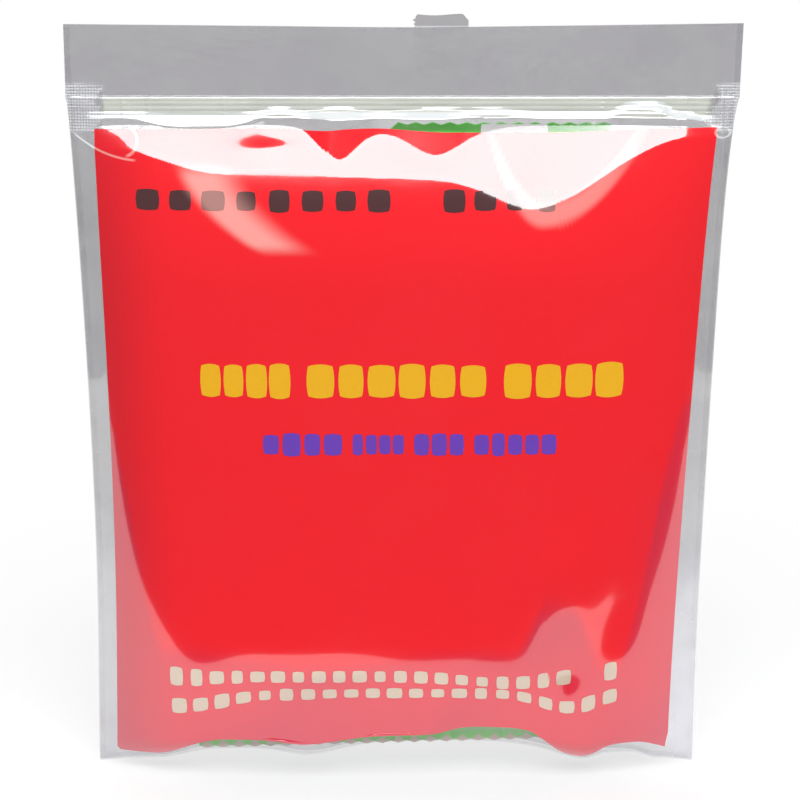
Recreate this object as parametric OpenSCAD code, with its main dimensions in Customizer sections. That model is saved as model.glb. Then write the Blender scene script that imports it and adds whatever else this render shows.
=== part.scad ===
// Packed smoke hood: a clear press-to-close pouch that holds a folded hood, a wet towel sachet and a leaflet.
// +X is the viewer's right, -Y the front and +Z up. The origin is the middle of the hanging tape's rear face.
// Depths are measured forward from that rear face, and heights up from the pouch's bottom corners.

/* [Pouch] */
// Width across the flat top edge
pouch_w = 220; // [212:1:240]
// Height from the bottom corners to the top edge
pouch_h = 260; // [250:1:280]
// Thickness that stands for the pouch film
film_t = 0.3; // [0.25:0.05:0.5]
// Thickness of a fused seam between the two films
seam_t = 0.3; // [0.2:0.05:0.4]
// Width of the weld along each side
weld_w = 2; // [1.5:0.5:4]
// Height of the crease along the bottom
crease_h = 2; // [1.5:0.5:4]
// Depth of the rounded underside
under_r = 14; // [12:1:18]
// How far the filled pouch draws its left edge in
draw_left = 1.6; // [0:0.2:4]
// How far the filled pouch draws its right edge in
draw_right = 3.6; // [0:0.2:4]
// Sideways drift of the limp bottom end
drift = 3.2; // [0:0.2:5]
// Lift of the middle of the bottom crease over its corners
crease_lift = 2.2; // [0:0.2:3]
// Height of the soft ripples in the front film
ripple = 0.8; // [0:0.1:1.5]

/* [Zip] */
// Distance from the top edge down to the upper side of the zip
header_h = 23; // [18:1:30]
// Height of each zip strip
zip_h = 6.5; // [5.5:0.5:10]
// Thickness of the web of the groove strip
groove_web = 0.15; // [0.1:0.05:0.3]
// Height of the lips on the groove strip
lip_h = 0.45; // [0.4:0.05:0.6]
// Width of one lip
lip_w = 0.4; // [0.3:0.05:0.5]
// Thickness of the web of the rib strip
rib_web = 0.2; // [0.1:0.05:0.3]
// Width of one rib
rib_w = 0.6; // [0.4:0.1:0.8]
// Distance between the two tracks
track_gap = 3.2; // [3:0.1:3.4]
// Width of the crushed seal at each end of the zip
crush_w = 9; // [7:1:12]
// Height of the crushed seals
crush_h = 14.5; // [12:0.5:17]
// Spacing of the ridges pressed into the crushed seals
crush_pitch = 1.2; // [1:0.1:2]

/* [Print] */
// Thickness that stands for the ink layer
print_t = 0.12; // [0.1:0.01:0.2]
// Distance from the zip down to the top of the print
print_drop = 5; // [4.5:0.5:10]

/* [Hanging tape] */
// Thickness of the hanging tape
tape_t = 0.4; // [0.3:0.1:0.8]
// Length of the tape along the top edge
tape_w = 18.5; // [14:0.5:26]
// Width of the tape roll it was cut from
tape_h = 18; // [12:1:22]
// How far the tape stands above the top edge
tape_over = 4; // [2:0.5:8]
// Distance of the tape from the middle of the pouch
tape_off = 12; // [0:1:30]
// Pitch of the teeth on its cut ends
tape_pitch = 1.5; // [1:0.1:3]

/* [Fit] */
// Gap between pieces that move apart
gap = 0.3; // [0.3:0.05:0.4]
// Angle of the opened front film
open_angle = 20; // [18:1:24]
// Height that the contents rise beyond the top edge when taken out
lift_over = 10; // [5:1:15]

/* [Leaflet] */
// Width of the folded leaflet
leaflet_w = 150; // [120:1:160]
// Distance from the zip down to the top of the leaflet
leaflet_drop = 27.5; // [26:0.5:60]
// Thickness of one leaf
leaf_t = 0.25; // [0.2:0.05:0.3]
// Difference in width between the two leaves
leaf_step = 3; // [1:1:8]

/* [Hood] */
// Room left beside the folded hood
hood_side_room = 30; // [28:1:40]
// Thickness of one fold of hood film
fold_t = 1.9; // [1.4:0.1:2.1]
// Air between two folds of hood film
fold_air = 0.15; // [0.1:0.05:0.3]
// Thickness of the visor sheet
visor_t = 0.5; // [0.4:0.1:0.8]
// Distance from the visor sheet to the side of the folded hood
visor_side = 16; // [15:0.5:24]
// Height of the visor sheet
visor_h = 84; // [70:1:90]
// Thickness of the filter frame
frame_t = 2.4; // [2:0.1:3]
// Width of the filter frame
frame_w = 84; // [70:1:100]
// Height of the filter frame
frame_h = 56; // [46:1:60]
// Wall of the filter frame
frame_wall = 5; // [4:0.5:7]
// Thickness of the filter pad
pad_t = 1.8; // [1.4:0.1:1.9]
// Width of the neck elastic
elastic_w = 12; // [8:1:16]
// Thickness of the neck elastic
elastic_t = 1.6; // [1:0.1:2.2]
// Distance from the visor sheet to the top of the folded hood
visor_drop = 8; // [4:0.5:12]
// Width of the head strap
strap_w = 10; // [8:0.5:11]
// Distance from the head strap to the side of the folded hood
strap_edge = 4; // [3:0.5:5]
// Distance from the neck elastic to the side and the bottom of the folded hood
elastic_edge = 6; // [4:0.5:10]
// Space between the neck elastic and what lies above it
elastic_space = 3; // [2:0.5:6]
// Thickness of the paper band around the hood
band_t = 0.3; // [0.2:0.05:0.4]
// Height of the paper band
band_h = 32; // [24:1:40]

/* [Sachet] */
// Room left beside the sachet
sachet_side_room = 40; // [38:1:60]
// Thickness of the filled sachet
sachet_t = 6; // [5:0.5:7]
// Thickness of the foil
foil_t = 0.25; // [0.2:0.05:0.3]
// Height of each end seal
seal_h = 12; // [8:1:14]
// Thickness of an end seal
seal_t = 0.3; // [0.2:0.05:0.4]
// Pitch of the teeth along an end seal
tooth_pitch = 3; // [2:0.25:5]
// Depth of the teeth
tooth_d = 1.8; // [1:0.2:2.5]
// Width of the back seam
fin_w = 10; // [6:1:14]
// Thickness of the back seam
fin_t = 0.3; // [0.2:0.05:0.4]
// Distance of the white label from the middle of the sachet
label_off = 38; // [20:1:45]
// Width of the white label on the top seal
label_w = 22; // [14:1:30]
// Height of the white label
label_h = 9; // [6:1:10]
// Thickness of the white label
label_t = 0.12; // [0.1:0.01:0.15]
// Thickness of one layer of the folded towel
towel_t = 1.2; // [0.9:0.1:1.3]
// Width of the folded towel
towel_w = 96; // [70:1:100]
// Space between the folded towel and the tapering ends of the sachet
towel_space = 15; // [13:0.5:30]

/* [Hidden] */

// Heights on the pouch
half_w = pouch_w / 2;
zip_top = pouch_h - header_h;
zip_low = zip_top - zip_h;
zip_mid = (zip_top + zip_low) / 2;
print_top = zip_low - print_drop;
origin_h = pouch_h + tape_over - tape_h / 2;

// Depths through the pouch, from the wall side forward
back_in = tape_t + film_t;
seam_front = back_in + seam_t;
side_in = seam_front + gap;
lip_top = back_in + groove_web + lip_h;
clear_in = lip_top + gap;
rib_tip = back_in + groove_web + gap;
zip_in = clear_in + rib_web;
leaflet_front_d = clear_in + 2 * leaf_t;
hood_back = leaflet_front_d + gap;
folds_back = hood_back + band_t;
folds_front = folds_back + 3 * fold_t + 2 * fold_air;
visor_front = folds_front + visor_t;
frame_front = visor_front + frame_t;
hood_front = frame_front + band_t;
foil_edge = 0.1;
sachet_mid = hood_front + gap + fin_t + foil_edge + sachet_t / 2;
sachet_front_d = sachet_mid + sachet_t / 2 + foil_edge;
belly_room = 0.5;
belly_in = sachet_front_d + gap + belly_room;
belly = belly_in - zip_in;

// The contents rise while the front film swings: a piece at height h passes the zip when it is no deeper than this
pass_gap = gap + 0.2;
bottom_room = under_r + 1.5;
hood_low = under_r - 1;
rise = pouch_h + lift_over - hood_low;
sachet_rise = rise + lift_over;
rise_slope = zip_low / (sachet_rise / (open_angle * PI / 180));
function pass_depth(h) = rib_tip - pass_gap + rise_slope * (zip_low - h);
seal_stack = seal_t / 2 + label_t;
sachet_low = bottom_room;
sachet_top = zip_low - (clear_in + seal_t / 2 + seal_stack - rib_tip + pass_gap) / rise_slope;
lean_start = zip_low - (sachet_front_d + seal_stack - rib_tip + pass_gap) / rise_slope;
hood_high = lean_start - 1;

// Front film: s runs from -1 at the left edge to 1 at the right, w from 0 at the crease to 2 at the top edge
shoulder_h = 37;
crease_fade = 60;
side_power = 5;
zip_fade = 24;
ripple_len = 0.62;
fold_waves = [[-0.53, 0.19, 3.4], [0.17, 0.37, 6.6], [0.75, 0.09, 2.3]];
print_side = 0.93;
print_w0 = 0.64;
edge_cols = 4;
print_cols = 30;
under_rows = 9;
belly_rows = 11;
shoulder_rows = 9;
header_rows = 9;

function total(list, i = 0) = i < len(list) ? list[i] + total(list, i + 1) : 0;
function bounded(v) = max(0, min(1, v));
function smooth(v) = let (c = bounded(v)) c * c * (3 - 2 * c);
function drawn(u) = sin(180 * pow(bounded((zip_top - u) / zip_top), 0.6));
function mid_x(u) = drift * (bounded(u / pouch_h) - 1);
function edge_x(side, u) = mid_x(u) + side * (half_w - (side < 0 ? draw_left : draw_right) * drawn(u));
function film_x(s, u) = mid_x(u) + abs(s) * (edge_x(s < 0 ? -1 : 1, u) - mid_x(u));
function crease_u(s) = crease_lift * (1 - pow(abs(s), 4))
    + total([for (f = fold_waves) f[2] * exp(-pow((s - f[0]) / f[1], 4))]);
function lifted(s, u) = u + crease_u(s) * pow(max(0, 1 - u / crease_fade), 2);
function side_round(s) = 1 - pow(abs(s), side_power);
function shoulder(u) = 1 - smooth((u - zip_low + shoulder_h) / shoulder_h);
function zip_step(s, u) = (zip_in - side_in + 0.1) * (1 - pow(abs(s), zip_fade))
    * exp(-pow(max(0, u - zip_mid) / (1.1 * zip_h), 4));
function ripples(s, u) = ripple * side_round(s)
    * ((1 + sin(360 * s / ripple_len)) / 2 * exp(-pow((u - print_top + 10) / 12, 2))
        + (1 + sin(360 * s / ripple_len * 1.7 + 60)) / 2 * pow(max(0, 1 - u / crease_fade), 2));
function film_point(s, w) =
    let (turn = 90 * min(w, 1),
         u = w < 1 ? under_r * (1 - cos(turn)) : under_r + (w - 1) * (pouch_h - under_r),
         d = side_in + (belly * side_round(s) * shoulder(u) + ripples(s, u) + zip_step(s, u)) * sin(turn))
    [film_x(s, u), -d, lifted(s, u)];
function unit(v) = v / norm(v);
function film_normal(s, w) =
    let (e = 0.002,
         along = film_point(s + e, w) - film_point(s - e, w),
         up = film_point(s, w + e) - film_point(s, max(0, w - e)))
    unit(cross(along, up));
function film_skin(s, w, off) = film_point(s, w) + off * film_normal(s, w);
function height_w(u) = 1 + (u - under_r) / (pouch_h - under_r);
function steps(a, b, n) = [for (i = [0 : n - 1]) a + (b - a) * i / n];

film_cols = concat(
    steps(-1, -print_side, edge_cols),
    [for (i = [0 : print_cols]) print_side * sin(75 * (2 * i / print_cols - 1)) / sin(75)],
    [for (i = [1 : edge_cols]) print_side + (1 - print_side) * i / edge_cols]);
print_only_cols = [for (s = film_cols) if (abs(s) <= print_side + 0.0001) s];
shoulder_w = height_w(zip_low - shoulder_h);
print_top_w = height_w(print_top);
film_rows = concat(
    steps(0, print_w0, 5), steps(print_w0, 1, 4), steps(1, shoulder_w, belly_rows),
    steps(shoulder_w, print_top_w, shoulder_rows), steps(print_top_w, 2, header_rows), [2]);
print_rows = [for (w = film_rows) if (w >= print_w0 - 0.0001 && w <= print_top_w + 0.0001) w];

// Sachet: a runs from -1 at its left edge to 1 at its right
sachet_w = pouch_w - 2 * sachet_side_room;
foil_taper = 35;
sachet_cols = [for (i = [0 : 14]) sin(90 * (2 * i / 14 - 1))];
body_low = sachet_low + seal_h;
body_high = sachet_top - seal_h;
sachet_hs = concat(
    steps(body_low, body_low + foil_taper, 6), steps(body_low + foil_taper, lean_start - 4, 5),
    steps(lean_start - 4, body_high, 11), [body_high]);
function swell(a, h) = sachet_t * sqrt(max(0, 1 - pow(abs(a), 4)))
    * sin(90 * bounded(min(h - body_low, body_high - h) / foil_taper));
function sachet_d(h) = min(sachet_mid, pass_depth(h) - swell(0, h) / 2 - seal_stack);

seam_slack = 0.05;

// Closes two matching grids of points, one behind the other, into one solid
module closed_grid(back, front, nx, ny) {
    n = nx * ny;
    function at(i, j, k) = k * n + j * nx + i;
    function quad(a, b, c, d) = [[a, c, b], [a, d, c]];
    skins = [for (j = [0 : ny - 2], i = [0 : nx - 2]) each concat(
        quad(at(i, j, 1), at(i + 1, j, 1), at(i + 1, j + 1, 1), at(i, j + 1, 1)),
        quad(at(i, j, 0), at(i, j + 1, 0), at(i + 1, j + 1, 0), at(i + 1, j, 0)))];
    rims = [for (i = [0 : nx - 2]) each concat(
        quad(at(i, 0, 0), at(i + 1, 0, 0), at(i + 1, 0, 1), at(i, 0, 1)),
        quad(at(i, ny - 1, 0), at(i, ny - 1, 1), at(i + 1, ny - 1, 1), at(i + 1, ny - 1, 0)))];
    sides = [for (j = [0 : ny - 2]) each concat(
        quad(at(0, j, 0), at(0, j, 1), at(0, j + 1, 1), at(0, j + 1, 0)),
        quad(at(nx - 1, j, 0), at(nx - 1, j + 1, 0), at(nx - 1, j + 1, 1), at(nx - 1, j, 1)))];
    polyhedron(points = concat(back, front), faces = concat(skins, rims, sides));
}

// Places heights and depths of the pouch in the part's own frame
module on_pouch() {
    translate([-tape_off, 0, -origin_h]) children();
}

// Stands a drawn outline, x across and height up, between two depths
module sheet(d0, d1) {
    on_pouch() translate([0, -d0, 0]) rotate([90, 0, 0]) linear_extrude(d1 - d0) children();
}

// Radius on the corners of the small flat pieces
pad_r = 2;

// A flat block between two depths, with its corners rounded
module pad(x0, x1, h0, h1, d0, d1, r = pad_r) {
    sheet(d0, d1)
        hull()
            for (x = [x0 + r, x1 - r], h = [h0 + r, h1 - r])
                translate([x, h]) circle(r = r, $fn = 32);
}

function side_line(side, inset, h0, h1, n) =
    [for (i = [0 : n]) let (u = h0 + (h1 - h0) * i / n) [edge_x(side, u) - side * inset, lifted(side, u)]];
function crease_line(n, up) =
    [for (i = [0 : n]) let (s = -1 + 2 * i / n) [film_x(s, up), lifted(s, up)]];
function reversed(list) = [for (i = [len(list) - 1 : -1 : 0]) list[i]];

module back_film() {
    color([0.80, 0.79, 0.81])
        sheet(tape_t, back_in)
            polygon(concat(crease_line(60, 0), side_line(1, 0, 2, pouch_h, 24),
                reversed(side_line(-1, 0, 2, pouch_h, 24))));
}

module side_weld(side) {
    color([0.90, 0.90, 0.92])
        sheet(back_in, seam_front)
            polygon(concat(side_line(side, 0, crease_h + 0.1, pouch_h, 24),
                reversed(side_line(side, weld_w, crease_h + 0.1, pouch_h, 24))));
}

module bottom_crease() {
    color([0.90, 0.90, 0.92])
        sheet(back_in, seam_front)
            polygon(concat(crease_line(60, 0), reversed(crease_line(60, crease_h))));
}

// The welds draw in below the zip, so the crushed ends keep clear of them by this much
weld_slack = 1;
zip_end_l = edge_x(-1, zip_mid) + weld_w + weld_slack + crush_w;
zip_end_r = edge_x(1, zip_mid) - weld_w - weld_slack - crush_w;

module zip_crush(side) {
    x0 = side < 0 ? zip_end_l - crush_w : zip_end_r;
    margin = crush_pitch / 3;
    count = floor((crush_w - margin) / crush_pitch);
    color([0.88, 0.88, 0.90]) {
        sheet(back_in, back_in + seam_t / 2)
            translate([x0, zip_mid - crush_h / 2]) square([crush_w, crush_h]);
        for (i = [0 : count - 1])
            sheet(back_in + seam_t / 2, seam_front)
                translate([x0 + margin + i * crush_pitch, zip_mid - crush_h / 2 + margin])
                    square([crush_pitch / 2, crush_h - 2 * margin]);
    }
}

module zip_strip(d0, d1) {
    sheet(d0, d1) translate([zip_end_l, zip_low]) square([zip_end_r - zip_end_l, zip_h]);
}

module zip_rail(h, w, d0, d1) {
    sheet(d0, d1) translate([zip_end_l, h - w / 2]) square([zip_end_r - zip_end_l, w]);
}

module zip_groove_strip() {
    side_room = gap + rib_w / 2 + lip_w / 2;
    color([0.86, 0.87, 0.88]) {
        zip_strip(back_in, back_in + groove_web);
        for (track = [-1, 1], lip = [-1, 1])
            zip_rail(zip_mid + track * track_gap / 2 + lip * side_room, lip_w, back_in + groove_web, lip_top);
    }
}

module zip_rib_strip() {
    color([0.94, 0.95, 0.96]) {
        zip_strip(clear_in, zip_in);
        for (track = [-1, 1])
            zip_rail(zip_mid + track * track_gap / 2, rib_w, rib_tip, clear_in);
    }
}

// A strip cut from a roll, with both cut ends toothed
module hang_tape() {
    teeth = floor(tape_h / tape_pitch);
    function end_line(side) = [for (i = [0 : 2 * teeth])
        [tape_off + side * (tape_w / 2 - (i % 2) * tape_pitch / 3), origin_h - tape_h / 2 + i * tape_h / (2 * teeth)]];
    color([0.84, 0.83, 0.84])
        sheet(0, tape_t)
            polygon(concat(end_line(1), reversed(end_line(-1))));
}

module film_shell(cols, rows, off0, off1) {
    on_pouch()
        closed_grid(
            [for (w = rows, s = cols) film_skin(s, w, off0)],
            [for (w = rows, s = cols) film_skin(s, w, off1)],
            len(cols), len(rows));
}

module front_film() {
    color([0.85, 0.84, 0.86]) film_shell(film_cols, film_rows, 0, film_t);
}

module front_print() {
    color([0.90, 0.12, 0.16]) film_shell(print_only_cols, print_rows, film_t, film_t + print_t);
}

contents_x = mid_x(pouch_h / 2);

module leaf(step, d0) {
    pad(contents_x - leaflet_w / 2, contents_x + leaflet_w / 2 - step, hood_low, zip_low - leaflet_drop,
        d0, d0 + leaf_t);
}

module leaflet_back() {
    color([0.96, 0.95, 0.90]) leaf(0, clear_in);
}

module leaflet_front() {
    color([0.93, 0.93, 0.89]) leaf(leaf_step, clear_in + leaf_t);
}

hood_w = pouch_w - 2 * hood_side_room;
fold_low = hood_low + band_t;
fold_high = hood_high - band_t;

// Three folds of film that turn over into each other at the top and the bottom
module zigzag(width, h0, h1, d0, layer, air) {
    pitch = layer + air;
    on_pouch() translate([contents_x - width / 2, 0, 0]) rotate([90, 0, 90]) linear_extrude(width) {
        for (k = [0 : 2])
            translate([-d0 - layer - k * pitch, h0 + pitch]) square([layer, h1 - h0 - 2 * pitch]);
        for (k = [0 : 1])
            translate([-d0 - layer - k * pitch - air / 2, k == 0 ? h1 - pitch : h0 + pitch])
                difference() {
                    circle(r = layer + air / 2, $fn = 48);
                    circle(r = air / 2, $fn = 24);
                    translate([-2 * pitch, k == 0 ? -4 * pitch : 0]) square([4 * pitch, 4 * pitch]);
                }
    }
}

module hood_film() {
    color([0.78, 0.86, 0.90]) zigzag(hood_w, fold_low, fold_high, folds_back, fold_t, fold_air);
}

visor_w = hood_w - 2 * visor_side;
visor_low = hood_high - visor_h - visor_drop;

module hood_visor() {
    color([0.70, 0.82, 0.90])
        pad(contents_x - visor_w / 2, contents_x + visor_w / 2, visor_low, visor_low + visor_h, folds_front,
            visor_front, 5 * pad_r);
}

frame_low = visor_low + (visor_h - frame_h) / 2;

module filter_frame() {
    color([0.20, 0.22, 0.24])
        difference() {
            pad(contents_x - frame_w / 2, contents_x + frame_w / 2, frame_low, frame_low + frame_h, visor_front,
                frame_front, 4 * pad_r);
            pad(contents_x - frame_w / 2 + frame_wall, contents_x + frame_w / 2 - frame_wall,
                frame_low + frame_wall, frame_low + frame_h - frame_wall, visor_front - frame_t,
                frame_front + frame_t, 2.5 * pad_r);
        }
}

module filter_pad() {
    color([0.35, 0.35, 0.36])
        pad(contents_x - frame_w / 2 + frame_wall, contents_x + frame_w / 2 - frame_wall,
            frame_low + frame_wall, frame_low + frame_h - frame_wall, visor_front, visor_front + pad_t,
            2.5 * pad_r);
}

elastic_low = fold_low + elastic_edge + pad_r;

module neck_elastic() {
    color([0.15, 0.15, 0.17])
        pad(contents_x - hood_w / 2 + elastic_edge, contents_x + hood_w / 2 - elastic_edge, elastic_low,
            elastic_low + elastic_w, folds_front, folds_front + elastic_t, 1.5 * pad_r);
}

strap_x = contents_x - hood_w / 2 + strap_edge;

module head_strap() {
    color([0.95, 0.80, 0.15])
        pad(strap_x, strap_x + strap_w, elastic_low + elastic_w + elastic_space, hood_high - visor_drop,
            folds_front, folds_front + elastic_t);
}

band_low = elastic_low + elastic_w + elastic_space + pad_r;

module paper_band() {
    half = hood_w / 2 + gap / 2;
    color([0.94, 0.92, 0.86])
        on_pouch() translate([contents_x, 0, band_low]) linear_extrude(band_h)
            difference() {
                translate([-half - band_t, -hood_front]) square([2 * (half + band_t), hood_front - hood_back]);
                translate([-half, -hood_front + band_t])
                    square([2 * half, hood_front - hood_back - 2 * band_t]);
            }
}

function foil_point(a, h, off) = [contents_x + a * sachet_w / 2, -(sachet_d(h) + off), h];

// One foil wall of the sachet, from its middle surface out
module foil(side, cols) {
    on_pouch() {
        inner = [for (h = sachet_hs, a = cols) foil_point(a, h, side * max(0, swell(a, h) / 2 + foil_edge - foil_t))];
        outer = [for (h = sachet_hs, a = cols) foil_point(a, h, side * (swell(a, h) / 2 + foil_edge))];
        if (side > 0)
            closed_grid(inner, outer, len(cols), len(sachet_hs));
        else
            closed_grid(outer, inner, len(cols), len(sachet_hs));
    }
}

module sachet_front() {
    color([0.40, 0.80, 0.32]) foil(1, sachet_cols);
}

module sachet_back() {
    color([0.36, 0.72, 0.30]) foil(-1, sachet_cols);
}

module sachet_fin() {
    cols = [for (i = [0 : 3]) fin_w * i / 3 * 2 / sachet_w];
    hs = [for (h = sachet_hs) if (h > body_low + 4 && h < body_high - 4) h];
    color([0.42, 0.78, 0.36]) on_pouch()
        closed_grid(
            [for (h = hs, a = cols) foil_point(a, h, -(swell(a, h) / 2 + foil_edge + fin_t))],
            [for (h = hs, a = cols) foil_point(a, h, -(swell(a, h) / 2 + foil_edge))],
            len(cols), len(hs));
}

// An end seal lying in its own plane: its straight edge on the x axis, its toothed edge at height len
module seal_strip(len, t) {
    teeth = floor(sachet_w / tooth_pitch);
    step = sachet_w / teeth;
    rotate([90, 0, 0]) translate([0, 0, -t / 2]) linear_extrude(t)
        polygon(concat(
            [[-sachet_w / 2, 0], [sachet_w / 2, 0]],
            [for (i = [2 * teeth : -1 : 0]) [-sachet_w / 2 + i * step / 2, len - (i % 2 == 0 ? tooth_d : 0)]]));
}

lean = atan(rise_slope);
top_seal_len = (sachet_top - body_high) / cos(lean);

module on_top_seal() {
    on_pouch() translate([contents_x, -sachet_d(body_high), body_high]) rotate([-lean, 0, 0])
        translate([0, 0, seam_slack]) children();
}

module sachet_top_seal() {
    color([0.45, 0.82, 0.35]) on_top_seal() seal_strip(top_seal_len, seal_t);
}

module sachet_bottom_seal() {
    color([0.45, 0.82, 0.35])
        on_pouch() translate([contents_x, -sachet_mid, body_low]) rotate([0, 180, 0]) seal_strip(seal_h, seal_t);
}

module sachet_label() {
    color([0.97, 0.97, 0.97])
        on_top_seal() translate([label_off - label_w / 2, -seal_t / 2 - label_t, top_seal_len - tooth_d - label_h])
            cube([label_w, label_t, label_h]);
}

module wet_towel() {
    color([0.95, 0.96, 0.98])
        zigzag(towel_w, body_low + 2 * towel_space, lean_start - towel_space,
            sachet_mid - (3 * towel_t + 2 * fold_air) / 2, towel_t, fold_air);
}

back_film();
side_weld(-1);  // side_weld_left
side_weld(1);  // side_weld_right
bottom_crease();
zip_crush(-1);  // zip_crush_left
zip_crush(1);  // zip_crush_right
zip_groove_strip();
hang_tape();
front_film();
front_print();
zip_rib_strip();
leaflet_back();
leaflet_front();
hood_film();
hood_visor();
filter_frame();
filter_pad();
neck_elastic();
head_strap();
paper_band();
sachet_front();
sachet_back();
sachet_top_seal();
sachet_bottom_seal();
sachet_fin();
sachet_label();
wet_towel();
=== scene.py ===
import bpy
import numpy as np
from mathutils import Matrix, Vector
from numpy import cos, linspace, maximum, meshgrid, minimum, pi, sin


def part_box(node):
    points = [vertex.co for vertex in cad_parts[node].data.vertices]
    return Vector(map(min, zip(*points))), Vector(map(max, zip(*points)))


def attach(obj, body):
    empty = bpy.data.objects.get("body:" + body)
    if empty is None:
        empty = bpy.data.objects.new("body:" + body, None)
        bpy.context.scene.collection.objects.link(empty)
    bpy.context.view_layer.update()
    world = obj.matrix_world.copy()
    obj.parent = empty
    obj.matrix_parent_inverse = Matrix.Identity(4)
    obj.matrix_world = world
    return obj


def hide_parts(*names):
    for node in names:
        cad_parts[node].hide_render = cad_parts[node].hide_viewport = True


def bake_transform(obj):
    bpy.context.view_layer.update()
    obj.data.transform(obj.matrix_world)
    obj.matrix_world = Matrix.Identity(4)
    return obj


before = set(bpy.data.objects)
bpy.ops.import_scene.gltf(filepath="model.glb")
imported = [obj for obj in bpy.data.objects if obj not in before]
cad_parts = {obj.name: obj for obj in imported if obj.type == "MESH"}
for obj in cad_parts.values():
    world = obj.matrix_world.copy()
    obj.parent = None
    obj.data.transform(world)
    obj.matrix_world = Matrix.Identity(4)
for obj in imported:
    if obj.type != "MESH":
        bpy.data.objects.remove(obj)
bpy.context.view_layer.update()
mm = 0.001
spare = 0.02 * mm


def inMm(**sizes):
    return {name: size * mm for name, size in sizes.items()}


print("frame loaded")

# s runs from -1 at the pouch's left edge to 1 at its right; w from 0 at the bottom crease to 2 at the top
backLow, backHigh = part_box("back_film")
creaseLow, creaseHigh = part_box("bottom_crease")
zipLow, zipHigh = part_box("zip_rib_strip")
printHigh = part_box("front_print")[1]
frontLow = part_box("front_film")[0]
baseZ = backLow.z
height = backHigh.z - baseZ
zipFoot, zipHead = zipLow.z - baseZ, zipHigh.z - baseZ
zipMid = (zipFoot + zipHead) / 2
halfWide = (creaseHigh.x - creaseLow.x) / 2
middleX = backHigh.x - halfWide
printTop = printHigh.z - baseZ
pouch = {
    "sidePower": 5,
    **inMm(filmThick=0.3, underRadius=14, underLift=2.1, drift=3.2, drawLeft=2.4, drawRight=3.6,
           footLeft=4.2, footRight=2.8, creaseLift=2.2, creaseFade=60, shoulder=37, sideDepth=1.3,
           zipDepth=1.9, ripple=0.8),
}
belly = -frontLow.y - pouch["filmThick"] - pouch["ripple"] / 2 - pouch["zipDepth"]
foldWaves = [(-0.53, 0.19, 3.4 * mm), (0.17, 0.37, 6.6 * mm), (0.75, 0.09, 2.3 * mm)]


def clip01(v):
    return np.clip(v, 0.0, 1.0)


def smooth(v):
    c = clip01(v)
    return c * c * (3 - 2 * c)


def bell(v, centre, reach, power=2):
    return np.exp(-abs((v - centre) / reach) ** power)


def between(v, start, rise, end, fall):
    return smooth((v - start) / rise) * (1 - smooth((v - end) / fall))


def bumps(v, rows, power=2):
    return sum(size * bell(v, centre, reach, power) for centre, reach, size in rows)


def midX(u):
    return middleX + pouch["drift"] * (clip01(u / height) - 1)


def filmX(s, u):
    down = (zipHead - u) / zipHead
    drawn = sin(pi * clip01(down) ** 0.6)
    left = pouch["drawLeft"] * drawn + pouch["footLeft"] * smooth(down / 0.8)
    right = pouch["drawRight"] * drawn + pouch["footRight"] * smooth(down / 0.7 - 0.36)
    return midX(u) + s * (halfWide - np.where(s < 0, left, right))


def creaseHeight(s):
    return pouch["creaseLift"] * (1 - abs(s) ** 4) + bumps(s, foldWaves, 4)


def creaseFade(u):
    return maximum(0, 1 - u / pouch["creaseFade"]) ** 2


def heightOf(w):
    turn = pi / 2 * minimum(w, 1)
    radius = pouch["underRadius"]
    return np.where(w < 1, radius * (1 - cos(turn)), radius + (w - 1) * (height - radius))


def rowOf(u):
    radius = pouch["underRadius"]
    under = np.arccos(np.clip(1 - u / radius, -1, 1)) / (pi / 2)
    return np.where(u < radius, under, 1 + (u - radius) / (height - radius))


shoulderLine = {
    "gentle": 0.38, "steepest": 0.66, "slack": 0.32,
    **inMm(start=178, turn=213, leftRise=8, swell=2, dip=10.5, rightRise=12, flat=228.3, curl=229.9,
           curlDepth=1.35, curlLong=2.9),
}
notches = [(-0.19, 0.085, 10.5 * mm), (0.10, 0.13, 9.3 * mm)]
curlWaves = [(-0.61, 0.16, -2.6 * mm, 4), (-0.37, 0.06, 1.6 * mm, 2), (0.28, 0.09, 1.2 * mm, 2),
             (0.72, 0.08, 3.0 * mm, 4)]
# Soft dents and bumps in the film: place across, reach, height, reach up and depth
dents = [
    (-0.392, 0.062, 221.3 * mm, 2.4 * mm, 0.34 * mm),
    (0.555, 0.085, 43 * mm, 13 * mm, -1.2 * mm), (0.53, 0.10, 76 * mm, 16 * mm, 1.2 * mm),
    (0.72, 0.07, 62 * mm, 16 * mm, -0.9 * mm), (-0.30, 0.30, 30 * mm, 12 * mm, -0.6 * mm),
    (-0.66, 0.12, 34 * mm, 18 * mm, 0.5 * mm),
]
filmDetail = inMm(buckle=0.35, zipRidge=0.17, headerWave=0.5, bellyWave=0.35, topLip=0.42, headerClose=0.42)


def topRise(s, u):
    corner = 0.9 * mm * abs(s) ** 1.5 * (1 + 0.15 * s) - 0.25 * mm * bell(s, 0.0, 0.35)
    return corner * smooth((u - zipHead) / (height - zipHead))


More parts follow.
